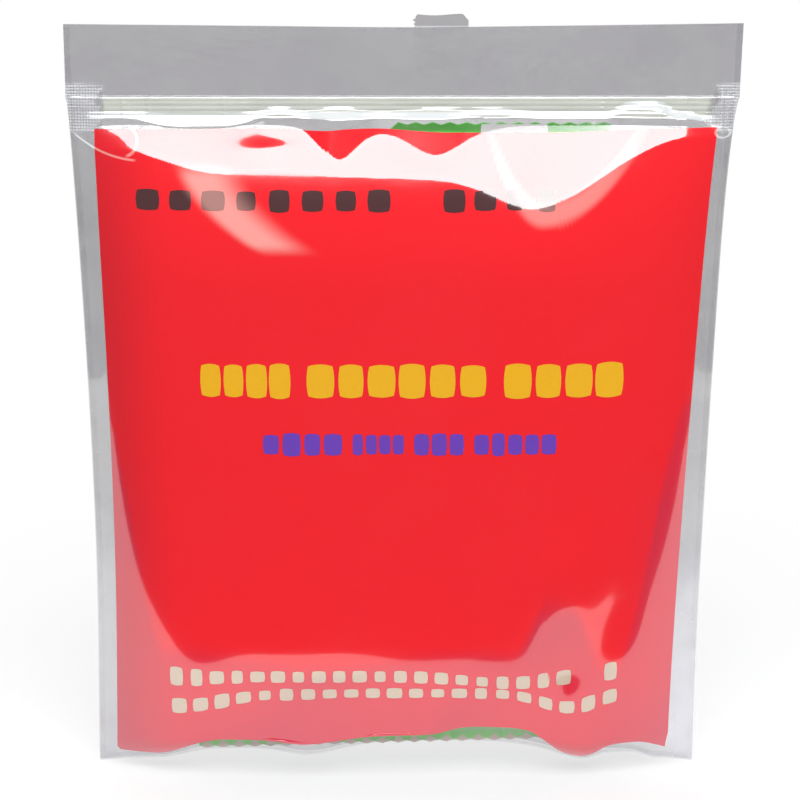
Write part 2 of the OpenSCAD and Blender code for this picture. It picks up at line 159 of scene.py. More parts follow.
def filmPoint(s, w):
    turn = pi / 2 * minimum(w, 1)
    u = heightOf(w)
    rounded = 1 - abs(s) ** pouch["sidePower"]
    shoulder = shoulderAt(s, u)
    step = (pouch["zipDepth"] - pouch["sideDepth"]) * (1 - abs(s) ** 24)
    step = step * np.exp(-(maximum(0, u - zipMid) / (1.1 * (zipHead - zipFoot))) ** 4)
    fade = creaseFade(u)
    wave = pouch["ripple"] * rounded * (
        0.4 * (1 + sin(2 * pi * s / 0.62)) / 2 * bell(u, printTop - 10 * mm, 12 * mm)
        + (1 + sin(2 * pi * s / 0.62 * 1.7 + pi / 3)) / 2 * fade)
    depth = pouch["sideDepth"] + (belly * rounded * shoulder + wave + step) * sin(turn)
    depth = depth + fineWaves(s, u, rounded) * sin(turn)
    under = pouch["underLift"] * sin(pi * minimum(w, 1)) ** 0.8 * (1 - s ** 4)
    under = under * (1 - 0.8 * bell(s, 0.61, 0.1))
    z = baseZ + u + creaseHeight(s) * fade + under + topRise(s, u)
    return np.stack([filmX(s, u) + 0 * w, -depth, z], axis=-1)


# The film's fall from the belly to the zip: gentle, then steep for a short way, then slack, then a curl
def curlAt(s):
    line = shoulderLine["curl"] - 1.0 * mm * smooth((s - 0.84) / 0.08)
    for centre, reach, rise, power in curlWaves:
        line = line + rise * bell(s, centre, reach, power)
    return line


def shoulderAt(s, u):
    d = shoulderLine
    turn = d["turn"] + d["leftRise"] * smooth((-s - 0.50) / 0.35) + d["swell"] * bell(s, -0.40, 0.20)
    turn = turn - d["dip"] * bell(s, 0.395, 0.165) + d["rightRise"] * smooth((s - 0.50) / 0.36)
    curl = curlAt(s)
    flat = minimum(d["flat"], curl)
    long = d["curlLong"] + 2.0 * mm * bell(s, -0.61, 0.16, 4)
    notch = bumps(s, notches)
    flat = maximum(flat - notch, turn + 1.5 * mm)
    long = long + 0.15 * notch
    easy = d["gentle"] * (turn - d["start"]) / 2
    steep = (belly - d["curlDepth"] - easy - d["slack"] * maximum(0, curl - flat)) / (flat - turn)
    steep = np.clip(steep, d["gentle"], d["steepest"] / maximum(0.2, 1 - abs(s) ** pouch["sidePower"]))

    def fallen(v):
        rising = np.clip(v, d["start"], turn) - d["start"]
        fall = d["gentle"] * rising ** 2 / (2 * (turn - d["start"])) + steep * (np.clip(v, turn, flat) - turn)
        return fall + d["slack"] * (np.clip(v, flat, maximum(flat, curl)) - flat)

    rest = belly - fallen(curl + 0 * u)
    return 1 - (fallen(u) + rest * smooth((u - curl) / long)) / belly


# Small waves that the film takes over the hard ridges of the zip and over the soft contents
def fineWaves(s, u, rounded):
    d = filmDetail
    inZip = bell(u, zipMid, (zipHead - zipFoot) / 2, 8) * (1 - abs(s) ** 40)
    ridges = d["zipRidge"] * inZip * (1 + cos(2 * pi * (u - zipFoot) / (1.62 * mm))) / 2
    buckle = d["buckle"] * bell(u, zipFoot - 24 * mm + 3 * mm * sin(5 * s), 11 * mm)
    buckle = buckle * (1 + sin(9 * s + 1.3 * sin(4 * s))) / 2 * (1 - abs(s) ** 8)
    dented = sum(deep * bell(s, centre, reach) * bell(u, up, tall) for centre, reach, up, tall, deep in dents)
    above = u - zipHead
    header = d["headerWave"] * (1 + sin(7 * s + 40 * above) * cos(2.3 * s)) / 2 - d["headerClose"]
    header = smooth((above - 2 * mm) / (12 * mm)) * header
    header = header - d["topLip"] * smooth(above / (0.8 * mm)) * (1 - abs(s) ** 40)
    soft = d["bellyWave"] * rounded * (1 + sin(3.1 * s + 14 * u) * sin(5.3 * s - 21 * u + 0.7)) / 2
    return ridges + buckle + dented + header + soft


def filmSkin(s, w, off):
    e = 0.002
    along = filmPoint(s + e, w) - filmPoint(s - e, w)
    lowW = maximum(0, w - e)
    up = filmPoint(s, w + e) - filmPoint(s, lowW)
    normal = np.cross(along, up)
    normal /= np.linalg.norm(normal, axis=-1, keepdims=True)
    return filmPoint(s, w) + np.asarray(off)[..., None] * normal


def place(*parts):
    return np.stack(np.broadcast_arrays(*parts), axis=-1)


def spread(marks, counts):
    parts = [linspace(a, b, n, endpoint=False) for a, b, n in zip(marks[:-1], marks[1:], counts)]
    return np.concatenate(parts + [[marks[-1]]])


def link(mesh, name, material=None):
    obj = bpy.data.objects.new(name, mesh)
    bpy.context.scene.collection.objects.link(obj)
    if material:
        mesh.materials.clear()
        mesh.materials.append(material)
    return obj


def smoothMesh(name, co, faces):
    mesh = bpy.data.meshes.new(name)
    mesh.from_pydata(co.tolist(), [], faces)
    mesh.shade_smooth()
    return mesh


# Two matching grids of points, one in front of the other, closed all round into one solid
def closedGrid(name, front, back, material, uv=None):
    ny, nx = front.shape[:2]
    n = nx * ny
    at = np.arange(n).reshape(ny, nx)

    def quads(*corners):
        return np.stack([corner.ravel() for corner in corners], axis=1)

    f, b = at, at + n
    faces = np.concatenate([
        quads(f[:-1, :-1], f[:-1, 1:], f[1:, 1:], f[1:, :-1]),
        quads(b[:-1, :-1], b[1:, :-1], b[1:, 1:], b[:-1, 1:]),
        quads(f[0, :-1], b[0, :-1], b[0, 1:], f[0, 1:]),
        quads(f[-1, :-1], f[-1, 1:], b[-1, 1:], b[-1, :-1]),
        quads(f[:-1, 0], f[1:, 0], b[1:, 0], b[:-1, 0]),
        quads(f[:-1, -1], b[:-1, -1], b[1:, -1], f[1:, -1])])
    mesh = smoothMesh(name, np.concatenate([front.reshape(-1, 3), back.reshape(-1, 3)]), faces.tolist())
    border = np.ones((ny, nx), bool)
    border[1:-1, 1:-1] = False
    onBorder = np.concatenate([border.ravel()] * 2)
    ends = np.zeros(len(mesh.edges) * 2, np.int32)
    mesh.edges.foreach_get("vertices", ends)
    ends = ends.reshape(-1, 2)
    sharp = onBorder[ends].all(axis=1) & ((ends[:, 0] < n) == (ends[:, 1] < n))
    mesh.edges.foreach_set("use_edge_sharp", sharp)
    if uv is not None:
        layer = mesh.uv_layers.new(name="along")
        flat = np.concatenate([uv.reshape(-1, 2)] * 2)
        index = np.zeros(len(mesh.loops), np.int32)
        mesh.loops.foreach_get("vertex_index", index)
        layer.data.foreach_set("uv", flat[index].astype(np.float32).ravel())
    mesh.update()
    return link(mesh, name, material)


# One node: its own settings, then its inputs by name, or by number as i0, i1 and so on
def put(tree, kind, settings=None, **feeds):
    made = tree.nodes.new(kind if "Node" in kind else "ShaderNode" + kind)
    for key, value in (settings or {}).items():
        setattr(made, key, value)
    for key, value in feeds.items():
        socket = made.inputs[int(key[1:]) if key[1:].isdigit() else key.replace("_", " ")]
        value = getattr(value, "socket", value)
        if isinstance(value, bpy.types.NodeSocket):
            tree.links.new(value, socket)
        else:
            socket.default_value = (*value, 1.0) if socket.type == "RGBA" else value
    return made


# A value inside a node tree: arithmetic on it adds the nodes
class Num:
    def __init__(self, tree, socket):
        self.tree = tree
        self.socket = socket

    def sums(self, operation, *terms):
        feeds = {f"i{index}": term for index, term in enumerate(terms)}
        return Num(self.tree, put(self.tree, "Math", {"operation": operation}, **feeds).outputs[0])

    def do(self, operation, *terms):
        return self.sums(operation, self, *terms)

    def __add__(self, other):
        return self.do("ADD", other)

    def __sub__(self, other):
        return self.do("SUBTRACT", other)

    def __rsub__(self, other):
        return self.sums("SUBTRACT", other, self)

    def __mul__(self, other):
        return self.do("MULTIPLY", other)

    def __truediv__(self, other):
        return self.do("DIVIDE", other)

    __rmul__ = __mul__


# The nodes that a shading tree uses most
class Shading:
    def __init__(self, tree):
        self.tree = tree

    def put(self, kind, settings=None, **feeds):
        return put(self.tree, kind, settings, **feeds)

    def num(self, output, kind, settings=None, **feeds):
        return Num(self.tree, self.put(kind, settings, **feeds).outputs[output])

    def ramp(self, value, low, high, toLow=0.0, toHigh=1.0):
        kind = {"interpolation_type": "SMOOTHSTEP"}
        return self.num(0, "MapRange", kind, i0=value, i1=low, i2=high, i3=toLow, i4=toHigh)

    def mix(self, factor, a, b):
        return self.put("MixShader", i0=factor, i1=a.outputs[0], i2=b.outputs[0])

    def rays(self, kind, *others):
        found = self.num(f"Is {kind} Ray", "LightPath")
        return found.do("MAXIMUM", self.rays(*others)) if others else found


# A material under way
class Look(Shading):
    def __init__(self, name, colour, roughness, **sockets):
        self.mat = bpy.data.materials.new(name)
        self.mat.use_nodes = True
        super().__init__(self.mat.node_tree)
        self.shader = self.tree.nodes["Principled BSDF"]
        self.where = self.put("TexCoord").outputs["Object"]
        for key, value in {"Base_Color": (*colour, 1.0), "Roughness": roughness, **sockets}.items():
            self.shader.inputs[key.replace("_", " ")].default_value = value

    def feed(self, name, value):
        self.tree.links.new(value.socket, self.shader.inputs[name])

    def xyz(self):
        place = self.put("SeparateXYZ", Vector=self.where).outputs
        return [Num(self.tree, socket) for socket in place]

    def painted(self, name):
        return self.num("Fac", "Attribute", {"attribute_name": name})

    def stretched(self, scale, turn=0.0):
        return self.put("Mapping", Vector=self.where, Rotation=(0.0, turn, 0.0), Scale=scale).outputs[0]

    def noise(self, scale, detail=3.0, twist=0.0, where=None):
        where = self.where if where is None else where
        return self.num("Fac", "TexNoise", Vector=where, Scale=scale, Detail=detail, Distortion=twist)

    def wave(self, way, scale):
        kind = {"bands_direction": way}
        return self.num("Fac", "TexWave", kind, Vector=self.where, Scale=scale, Distortion=0.4)

    def tint(self, factor, a, b):
        return self.num(2, "Mix", {"data_type": "RGBA"}, i0=factor, i6=a, i7=b)

    def shade(self, factor, a, b):
        self.feed("Base Color", self.tint(factor, a, b))

    def bump(self, height, distance, strength=1.0, after=None):
        made = self.num(0, "Bump", Strength=strength, Distance=distance, Height=height)
        if after:
            self.tree.links.new(after.socket, made.socket.node.inputs["Normal"])
        self.feed("Normal", made)
        return made

    # Clear plastic throws only a faint shadow on what lies behind it
    def letThrough(self, alpha, shade):
        self.feed("Alpha", alpha * (self.rays("Shadow") * (shade - 1.0) + 1.0))


# A finish of one grain: its colour runs from dark to light with the grain, and so does its bump
def grained(name, colour, roughness, scale, detail, dark, light, height, strength, twist=0.0, stretch=None,
            **sockets):
    look = Look(name, colour, roughness, **sockets)
    look.grain = look.noise(scale, detail, twist, look.stretched(stretch) if stretch else None)
    look.shade(look.grain, dark, light)
    if strength:
        look.bump(look.grain, height, strength)
    return look


# Film colours: the two lighter greys are painted light, low on the film and on its right; the near white is a
# painted highlight along the curl and the creases
clearFilm = {
    "smoky": (0.102, 0.093, 0.111), "litFilm": (0.41, 0.39, 0.43), "litFilmRight": (0.64, 0.64, 0.71),
    "crushed": (0.60, 0.60, 0.63), "pressed": (0.69, 0.71, 0.655), "highlightWhite": (0.80, 0.83, 0.84),
    "frontAlpha": 0.52, "backAlpha": 0.30, "clearer": 0.6, "shade": 0.3, "roughness": 0.07,
}
# Thin curved creases by the zip's ends, drawn only as painted highlight lines: centre x and height, radius,
# half width, the x range that shows, and how far the circle is flattened; all but the last in mm
creaseArcs = [(-97.3, 254.2, 36.4, 0.22, -121.0, -98.5, 1.0), (-103.3, 223.6, 4.6, 0.30, -103.0, -90.0, 1.0),
              (92.6, 226.0, 2.5, 0.30, 88.0, 100.0, 1.5)]


# A mask of painted highlight lines along the creases
def creaseHighlights(look):
    x, _, z = look.xyz()
    below = look.ramp(z, baseZ + 229 * mm, baseZ + 227 * mm)
    lines = []
    for arc in creaseArcs:
        midway, up, radius, half, fromX, toX = [size * mm for size in arc[:6]]
        spot = look.put("CombineXYZ", X=x - midway, Y=(z - (baseZ + up)) * arc[6]).outputs[0]
        away = look.num("Value", "VectorMath", {"operation": "LENGTH"}, i0=spot)
        line = look.ramp((away - radius).do("ABSOLUTE"), half, half * 2.2, 1.0, 0.0)
        shown = look.ramp(x, fromX, fromX + 2 * mm) * look.ramp(x, toX, toX - 2 * mm)
        lines.append(line * shown * below)
    return lines[0].do("MAXIMUM", lines[1]).do("MAXIMUM", lines[2])


# Clear film that reads as smoky grey against white, paler where it has been crushed; painted light makes it
# paler towards the bottom and paler still on the right
def filmMaterial(name, alpha, clearBelow=None, highlightCreases=False):
    c = clearFilm
    look = Look(name, c["smoky"], c["roughness"], Coat_Weight=1.0, Coat_Roughness=0.04, IOR=1.9, Coat_IOR=2.2)
    x, _, z = look.xyz()
    crushed = look.painted("crushed")
    pressed = look.painted("pressed")
    # This mask is a painted highlight: whiter, more opaque film along the curl under the zip
    folded = look.painted("folded")
    cloud = look.noise(22.0, 4.0, 0.8)
    veil = look.ramp(look.noise(14.0, 3.0, 1.6, look.stretched((1.0, 1.0, 2.2), 0.5)), 0.35, 0.75)
    # Painted light: the film lighter towards the bottom, and lighter still on the right
    litLow = look.ramp(cloud * 0.05 + z, baseZ + 0.15, baseZ + 0.055)
    litRight = look.ramp(x, middleX + 0.06, middleX + 0.10)
    colour = look.tint(litLow, c["smoky"], look.tint(litRight, c["litFilm"], c["litFilmRight"]))
    colour = look.tint(veil * 0.45, colour, (0.34, 0.32, 0.37))
    colour = look.tint(crushed, colour, c["crushed"])
    colour = look.tint(pressed, colour, c["pressed"])
    colour = look.tint(folded, colour, c["highlightWhite"])
    # Painted highlights along the creases: whiter and more opaque film
    if highlightCreases:
        line = creaseHighlights(look)
        folded = folded.do("MAXIMUM", line * 0.5)
        colour = look.tint(line, colour, c["highlightWhite"])
    look.feed("Base Color", colour)
    solid = alpha * (1.0 - look.painted("clearer") * c["clearer"]) + crushed * 0.16 + pressed * 0.16
    solid = (solid + folded * 0.62).do("MINIMUM", 1.0) + cloud * 0.06 + (veil - 0.5) * 0.09
    if clearBelow:
        solid = solid * look.ramp(z, clearBelow - 0.6 * mm, clearBelow + 0.4 * mm, 0.04, 1.0)
    look.letThrough(solid * (1.0 - look.num("Backfacing", "NewGeometry")), c["shade"])
    look.feed("Roughness", look.ramp(cloud, 0.3, 0.8, c["roughness"] * 0.7, c["roughness"] * 1.8))
    cells = look.num("Distance", "TexVoronoi", {"feature": "DISTANCE_TO_EDGE"}, Scale=55.0,
                     Vector=look.stretched((1.0, 1.0, 0.22), 0.7))
    first = look.bump(look.ramp(cells, 0.0, 0.05, 1.0, 0.0) * look.painted("crinkle"), 0.0004, 0.7)
    turns = 2 * pi / (1.9 * mm)
    lattice = ((x + z) * turns).do("SINE") * ((x - z) * turns).do("SINE") + look.noise(600.0, 2.0)
    second = look.bump(lattice * crushed, 0.00022, 0.8, first)
    look.bump(look.noise(160.0, 2.0), 0.00005, 0.5, second)
    return look.mat


print("materials begun")
filmFrontMat = filmMaterial("clearFilmFront", clearFilm["frontAlpha"], highlightCreases=True)
filmBackMat = filmMaterial("clearFilmBack", clearFilm["backAlpha"])
seamMat = filmMaterial("seamFilm", 0.10)
tapeMat = filmMaterial("clearTape", 0.66, backHigh.z)

# Red print colours: a darker red as painted shade on the left, a dull purple for the painted floor reflection
# low down, and a pale pink for painted highlights
redPrint = {
    "red": (0.94, 0.008, 0.018), "shadedRed": (0.72, 0.008, 0.020), "floorReflection": (0.12, 0.035, 0.12),
    "floorReflectionAmount": 0.45, "highlightPink": (1.0, 0.52, 0.46), "sheenAmount": 0.75, "sheenOnInk": 0.45, "roughness": 0.13,
}


def printMaterial(name, ink=None):
    c = redPrint
    look = Look(name, c["red"], c["roughness"], Coat_Weight=1.0, Coat_Roughness=0.045, Coat_IOR=2.0, IOR=1.5)
    x, _, z = look.xyz()
    wobble = look.noise(9.0, 2.0, 1.2)
    fine = look.noise(900.0, 2.0)
    # Painted floor reflection: low on the print and at its lower sides the red turns greyer and duller
    side = look.ramp((x - (middleX - 2 * mm)).do("ABSOLUTE"), 0.072, 0.098)
    side = side * look.ramp(wobble * -0.06 + z, baseZ + 0.11, baseZ - 0.01, 0.0, 0.75)
    floorReflection = look.painted("floorReflection").do("MAXIMUM", side) * look.ramp(wobble, 0.2, 0.75, 0.55, 1.0)
    if ink:
        colour = look.tint(fine * 0.25, ink, [v * 0.72 for v in ink])
    else:
        # Painted shade: the left side of the print darker red
        shadedLeft = look.ramp(x, middleX - 0.075, middleX - 0.104)
        colour = look.tint(fine * 0.14, look.tint(shadedLeft, c["red"], c["shadedRed"]), (0.95, 0.05, 0.05))
    colour = look.tint(floorReflection * c["floorReflectionAmount"], colour, c["floorReflection"])
    # Painted highlights in pale pink: the crease lines, then the soft sheens
    if not ink:
        colour = look.tint(creaseHighlights(look) * 0.55, colour, c["highlightPink"])
    look.shade(look.painted("sheen") * (c["sheenOnInk"] if ink else c["sheenAmount"]), colour, c["highlightPink"])
    look.feed("Roughness", look.ramp(wobble, 0.25, 0.75, c["roughness"] * 0.8, c["roughness"] * 1.5))
    soft = look.bump(look.noise(70.0, 3.0, 0.5), 0.00025, 0.5)
    look.bump(fine, 0.00002, 0.4, soft)
    return look.mat


redMat = printMaterial("redPrint")
goldInk = printMaterial("goldInk", (0.93, 0.48, 0.010))
violetInk = printMaterial("violetInk", (0.16, 0.055, 0.50))
darkInk = printMaterial("darkInk", (0.085, 0.03, 0.032))
creamInk = printMaterial("creamInk", (0.80, 0.66, 0.48))

look = Look("pressedZip", (0.55, 0.57, 0.52), 0.12, Coat_Weight=1.0, Coat_Roughness=0.05, IOR=1.5)
look.letThrough(0.90, 0.5)
grain = look.noise(900.0, 3.0, where=look.stretched((0.08, 1.0, 1.0)))
look.shade(look.ramp(grain, 0.3, 0.7), (0.50, 0.53, 0.46), (0.78, 0.80, 0.73))
look.bump(grain, 0.0001, 0.5)
zipMat = look.mat

# Front film; rows are under the pouch, on the belly and shoulder, below, on and over the zip, in the header
frontFilm = {"columns": (10, 170, 10), "rows": (22, 44, 30, 44, 44, 8, 16)}
crushFrom = {"left": 0.895, "right": 0.92}


def crushEdge(s):
    return np.where(s < 0, crushFrom["left"], crushFrom["right"])


def crushedAt(s, u):
    off = u - zipMid
    edge = crushEdge(s) + 0.012 * (sin(off / (1.7 * mm)) + np.sign(s) * off / (7 * mm))
    outside = abs(off) - 6.0 * mm + 1.2 * mm * cos(9 * s)
    return smooth((abs(s) - edge) / 0.014) * (1 - smooth(outside / (1.5 * mm)))


def pressedAt(s, u):
    inside = between(u, zipFoot, 0.5 * mm, zipHead, 0.5 * mm)
    return inside * (1 - smooth((abs(s) - crushEdge(s) + 0.01) / 0.02))


# Painted highlight: whiter, more opaque film along the curl under the zip, and in a soft patch beside it
def curlHighlightAt(s, u):
    wide = 1.8 * mm + 2.2 * mm * bell(s, -0.61, 0.16, 4) + 1.0 * mm * bell(s, 0.72, 0.08, 4)
    curl = between(u - curlAt(s) - 0.3 * mm, 0, 0.5 * mm, wide, 0.8 * mm)
    patch = 0.30 * bell(s, 0.62, 0.15, 4) * bell(u, 227.2 * mm, 2.2 * mm, 4)
    return maximum(curl * 0.95, patch) * (1 - smooth((abs(s) - 0.93) / 0.02))


# The film is clearest at the foot and just under the zip, most of all where the sachet lies against it
def clearerAt(s, u):
    underZip = between(u - zipFoot, -9 * mm, 3 * mm, -0.3 * mm, 0.8 * mm)
    overSachet = between(s, -0.12, 0.08, 0.58, 0.08)
    foot = (1 - smooth((u - 14 * mm) / (8 * mm))) * (0.45 + 0.55 * smooth((u - 3 * mm) / (4 * mm)))
    return ((0.35 + 0.65 * overSachet) * underZip + foot) * (1 - smooth((abs(s) - 0.90) / 0.04))


def crinkleAt(s, u):
    nearZip = bell(u, zipFoot - 4 * mm, 26 * mm) * smooth((abs(s) - 0.35) / 0.4)
    nearBase = bell(u, 8 * mm, 16 * mm) * 0.6
    return np.clip(nearZip + nearBase + 0.05, 0, 1)


def paint(mesh, name, values):
    layer = mesh.attributes.new(name, "FLOAT", "POINT")
    layer.data.foreach_set("value", np.asarray(values, np.float32).ravel())


def paintAttributes(obj, s, u, more={}):
    for name, rule in {"crushed": crushedAt, "crinkle": crinkleAt, **more}.items():
        paint(obj.data, name, np.tile(rule(s, u).ravel(), 2))


columns = spread([-1, -0.93, 0.93, 1], frontFilm["columns"])
levels = [zipFoot - pouch["shoulder"], zipFoot - 14 * mm, zipFoot, zipHead, zipHead + 1.2 * mm]
rows = spread([0.0, 1.0, *[float(rowOf(level)) for level in levels], 2.0], frontFilm["rows"])
s, w = meshgrid(columns, rows)
u = heightOf(w)
filmUv = place(s * halfWide, u)
thin = pouch["filmThick"]
rim = thin * (1 - 0.85 * smooth((u - height + 2 * mm) / (2 * mm)))
filmSheet = closedGrid("pouchFrontFilm", filmSkin(s, w, rim), filmSkin(s, w, 0 * s), filmFrontMat, filmUv)
# The mask for the curl carries its painted highlight
paintAttributes(filmSheet, s, u, {"pressed": pressedAt, "folded": curlHighlightAt, "clearer": clearerAt})
print("front film made")

# Printed panel on the film's face
panel = {
    "leftTop": -0.924, "leftLow": -0.932, "rightTop": 0.950, "rightLow": 0.896, "corner": 0.012,
    "columns": 170, "rows": (30, 94, 90),
    **inMm(topRaise=1.9, round=1.2, hem=5.6, hemRise=7, thick=0.08, off=0.015),
}
topDips = [(-0.26, 0.07, 0.6 * mm), (0.34, 0.32, 1.4 * mm), (-0.78, 0.3, 0.5 * mm)]
hemWaves = [(0.32, 0.17, 4.8 * mm), (0.78, 0.12, 4.4 * mm)]
a, t = meshgrid(linspace(0, 1, panel["columns"]), spread([0, 0.12, 0.80, 1], panel["rows"]))
left, right = [panel[side + "Low"] + (panel[side + "Top"] - panel[side + "Low"]) * t ** 1.4
               for side in ("left", "right")]
s = left + (right - left) * a
hem = panel["hem"] + panel["hemRise"] * between(s, -0.80, 0.25, 0.44, 0.13) + bumps(s, hemWaves, 4)
fromLeft = clip01((s - panel["leftLow"]) / panel["corner"])
lowRow = rowOf(hem + panel["round"] * (1 - np.sqrt(1 - (1 - fromLeft) ** 2)))
topRow = rowOf(printTop + panel["topRaise"] - bumps(s, topDips, 4))
w = lowRow + (topRow - lowRow) * t
over = thin + panel["off"]
inkFace, inkRear = [filmSkin(s, w, off + 0 * s) for off in (over + panel["thick"], over)]
panelSheet = closedGrid("redPanel", inkFace, inkRear, redMat)

# Painted reflection of the pale floor low on the print, and soft pink painted sheens under the shoulder,
# below the real glare
floorReflection = inMm(up=50, lump=22, sway=3, sides=90, soft=9, fullBelow=40, fullBy=25)
sheen = {
    "across": -0.49, "lean": 0.0093, "bend": 0.00022, "left": 0.115, "right": 0.085, "strength": 0.92,
    **inMm(up=202, foot=187.5, head=212),
}
lobe = {
    "across": 0.431, "strength": 0.62,
    **inMm(foot=195.5, leftRise=900, rightRise=300),
}


def floorReflectionAt(s, u):
    line = floorReflection["up"] + floorReflection["lump"] * bell(s, 0.53, 0.105, 4) + floorReflection["sway"] * sin(7 * s)
    line = line + floorReflection["sides"] * smooth((abs(s + 0.02) - 0.74) / 0.2)
    full = 0.75 + 0.25 * smooth((floorReflection["fullBelow"] - u) / floorReflection["fullBy"])
    return smooth((line - u) / floorReflection["soft"]) * full


def paintedSheenAt(s, u):
    below = (sheen["up"] - u) / mm
    across = s - sheen["across"] - sheen["lean"] * below - sheen["bend"] * below ** 2
    beam = between(across, -sheen["left"], 0.05, sheen["right"] - 0.10, 0.12)
    beam = beam * between(u, sheen["foot"], 5 * mm, sheen["head"], 6 * mm)
    aside = s - lobe["across"]
    above = u - lobe["foot"] - np.where(aside < 0, lobe["leftRise"], lobe["rightRise"]) * aside ** 2
    band = between(above, 0, 3.6 * mm, 7 * mm, 4 * mm) * bell(s, 0.50, 0.21, 4)
    return clip01(sheen["strength"] * beam + lobe["strength"] * band)


def paintPrint(mesh, s, u):
    paint(mesh, "floorReflection", floorReflectionAt(s, u))
    paint(mesh, "sheen", paintedSheenAt(s, u))


both = np.concatenate([np.stack([s.ravel(), heightOf(w).ravel()])] * 2, axis=1)
paintPrint(panelSheet.data, *both)
print("panel made")


# Geometry Nodes: short names for what the trees share, and the step that turns a result into a plain mesh
def newTree(name, floats, **others):
    tree = bpy.data.node_groups.new(name, "GeometryNodeTree")
    tree.interface.new_socket("Geometry", in_out="OUTPUT", socket_type="NodeSocketGeometry")
    for label, kind in {**dict.fromkeys(floats.split(), "Float"), **others}.items():
        tree.interface.new_socket(label, in_out="INPUT", socket_type="NodeSocket" + kind)
    given = put(tree, "NodeGroupInput").outputs
    return tree, {socket.name: Num(tree, socket) for socket in given if socket.name}


def grow(tree, kind, **feeds):
    return put(tree, "GeometryNode" + kind, **feeds).outputs[0]


def vector(tree, x=0.0, y=0.0, z=0.0):
    return put(tree, "CombineXYZ", X=x, Y=y, Z=z).outputs[0]


def position(tree):
    place = put(tree, "SeparateXYZ", i0=grow(tree, "InputPosition")).outputs
    return Num(tree, place[0]), Num(tree, place[1])


def joined(tree, *parts):
    made = put(tree, "GeometryNodeJoinGeometry")
    for part in parts:
        tree.links.new(part, made.inputs[0])
    return made.outputs[0]


def thickened(tree, sheet, merge, **push):
    raised = grow(tree, "ExtrudeMesh", Mesh=sheet, Individual=False, **push)
    under = grow(tree, "FlipFaces", Mesh=sheet)
    return grow(tree, "MergeByDistance", Geometry=joined(tree, raised, under), Distance=merge)


def finished(tree, geometry, material):
    real = grow(tree, "RealizeInstances", Geometry=geometry)
    out = put(tree, "NodeGroupOutput")
    tree.links.new(grow(tree, "SetMaterial", Geometry=real, Material=material), out.inputs[0])
    return tree


def grown(tree, name, **values):
    carrier = bpy.data.objects.new(name + "Carrier", bpy.data.meshes.new(name + "Carrier"))
    bpy.context.scene.collection.objects.link(carrier)
    mod = carrier.modifiers.new("grow", "NODES")
    mod.node_group = tree
    for item in tree.interface.items_tree:
        if item.in_out == "INPUT" and item.name in values:
            mod[item.identifier] = values[item.name]
    carrier.update_tag()
    bpy.context.view_layer.update()
    depsgraph = bpy.context.evaluated_depsgraph_get()
    mesh = bpy.data.meshes.new_from_object(carrier.evaluated_get(depsgraph), depsgraph=depsgraph)
    mesh.name = name
    carrier.modifiers.clear()
    bpy.data.objects.remove(carrier)
    return mesh


def points(mesh):
    flat = np.empty(len(mesh.vertices) * 3, np.float32)
    mesh.vertices.foreach_get("co", flat)
    return flat.reshape(-1, 3).astype(float)


def setPoints(mesh, co):
    mesh.vertices.foreach_set("co", np.asarray(co, np.float32).ravel())
    mesh.update()


# A row of plain rounded blocks of varied width, each a closed slab one unit thick
def blockRowTree():
    tree, g = newTree("blockRow", "Length Height Filled Vary", Count="Int", Seed="Int", Ink="Material")
    pitch = g["Length"] / g["Count"]
    line = grow(tree, "MeshLine", Count=g["Count"], Start_Location=vector(tree, pitch * 0.5),
                Offset=vector(tree, pitch))
    block = grow(tree, "MeshGrid", Size_X=1.0, Size_Y=1.0, Vertices_X=9, Vertices_Y=9)
    x, y = position(tree)
    spot = vector(tree, x * (1.0 - y * y * 0.9).do("SQRT"), y * (1.0 - x * x * 0.9).do("SQRT"))
    slab = thickened(tree, grow(tree, "SetPosition", Geometry=block, Position=spot), 0.001, Offset_Scale=1.0)
    low = 1.0 - g["Vary"]
    wide, tall = [put(tree, "FunctionNodeRandomValue", i2=low, i3=1.0, Seed=seed).outputs[1]
                  for seed in (g["Seed"], g["Seed"] + 7.0)]
    size = vector(tree, pitch * g["Filled"] * wide, g["Height"] * tall, 1.0)
    many = grow(tree, "InstanceOnPoints", Points=line, Instance=slab, Scale=size)
    return finished(tree, many, g["Ink"])


# Rows of blocks on the print, lengths in mm: words are a count of blocks and a length; sway lifts the row
# here and there, and squash stretches the rows that sway
def rowOfMarks(ink, seed, left, up, height, space, filled, vary, words, sway=()):
    return {"ink": ink, "seed": seed, "space": space, "filled": filled, "vary": vary, "words": words,
            "sway": [(centre, reach, rise * mm) for centre, reach, rise in sway],
            **inMm(left=left, up=up, height=height)}


markLayer = inMm(thick=0.05, off=0.05)
squash = [(-0.74, 0.22, 0.40), (0.66, 0.22, 0.30), (0.0, 0.50, -0.12)]
marks = {
    "title": rowOfMarks(goldInk, 11, -79.5, 146.3, 12.6, 4.6, 0.94, 0.14, [(4, 30.5), (6, 60.5), (4, 40.5)]),
    "second": rowOfMarks(violetInk, 23, -59.5, 124.4, 8.2, 2.6, 0.92, 0.20,
                         [(4, 27.5), (4, 18.0), (3, 17.5), (5, 28.0)]),
    "top": rowOfMarks(darkInk, 37, -100.5, 205.6, 7.4, 14.0, 0.74, 0.24, [(8, 86.0), (4, 40.0)]),
    "lowFirst": rowOfMarks(creamInk, 41, -94.0, 40.2, 5.6, 9.0, 0.74, 0.28, [(20, 141.0), (1, 7.5)],
                           [(-0.68, 0.16, -1.0), (0.34, 0.20, -2.4), (0.80, 0.20, 1.8)]),
    "lowSecond": rowOfMarks(creamInk, 53, -93.5, 33.6, 5.0, 4.0, 0.74, 0.28, [(21, 157.0)],
                            [(-0.72, 0.20, -5.6), (0.52, 0.12, -5.6), (0.85, 0.16, -2.4)]),
}


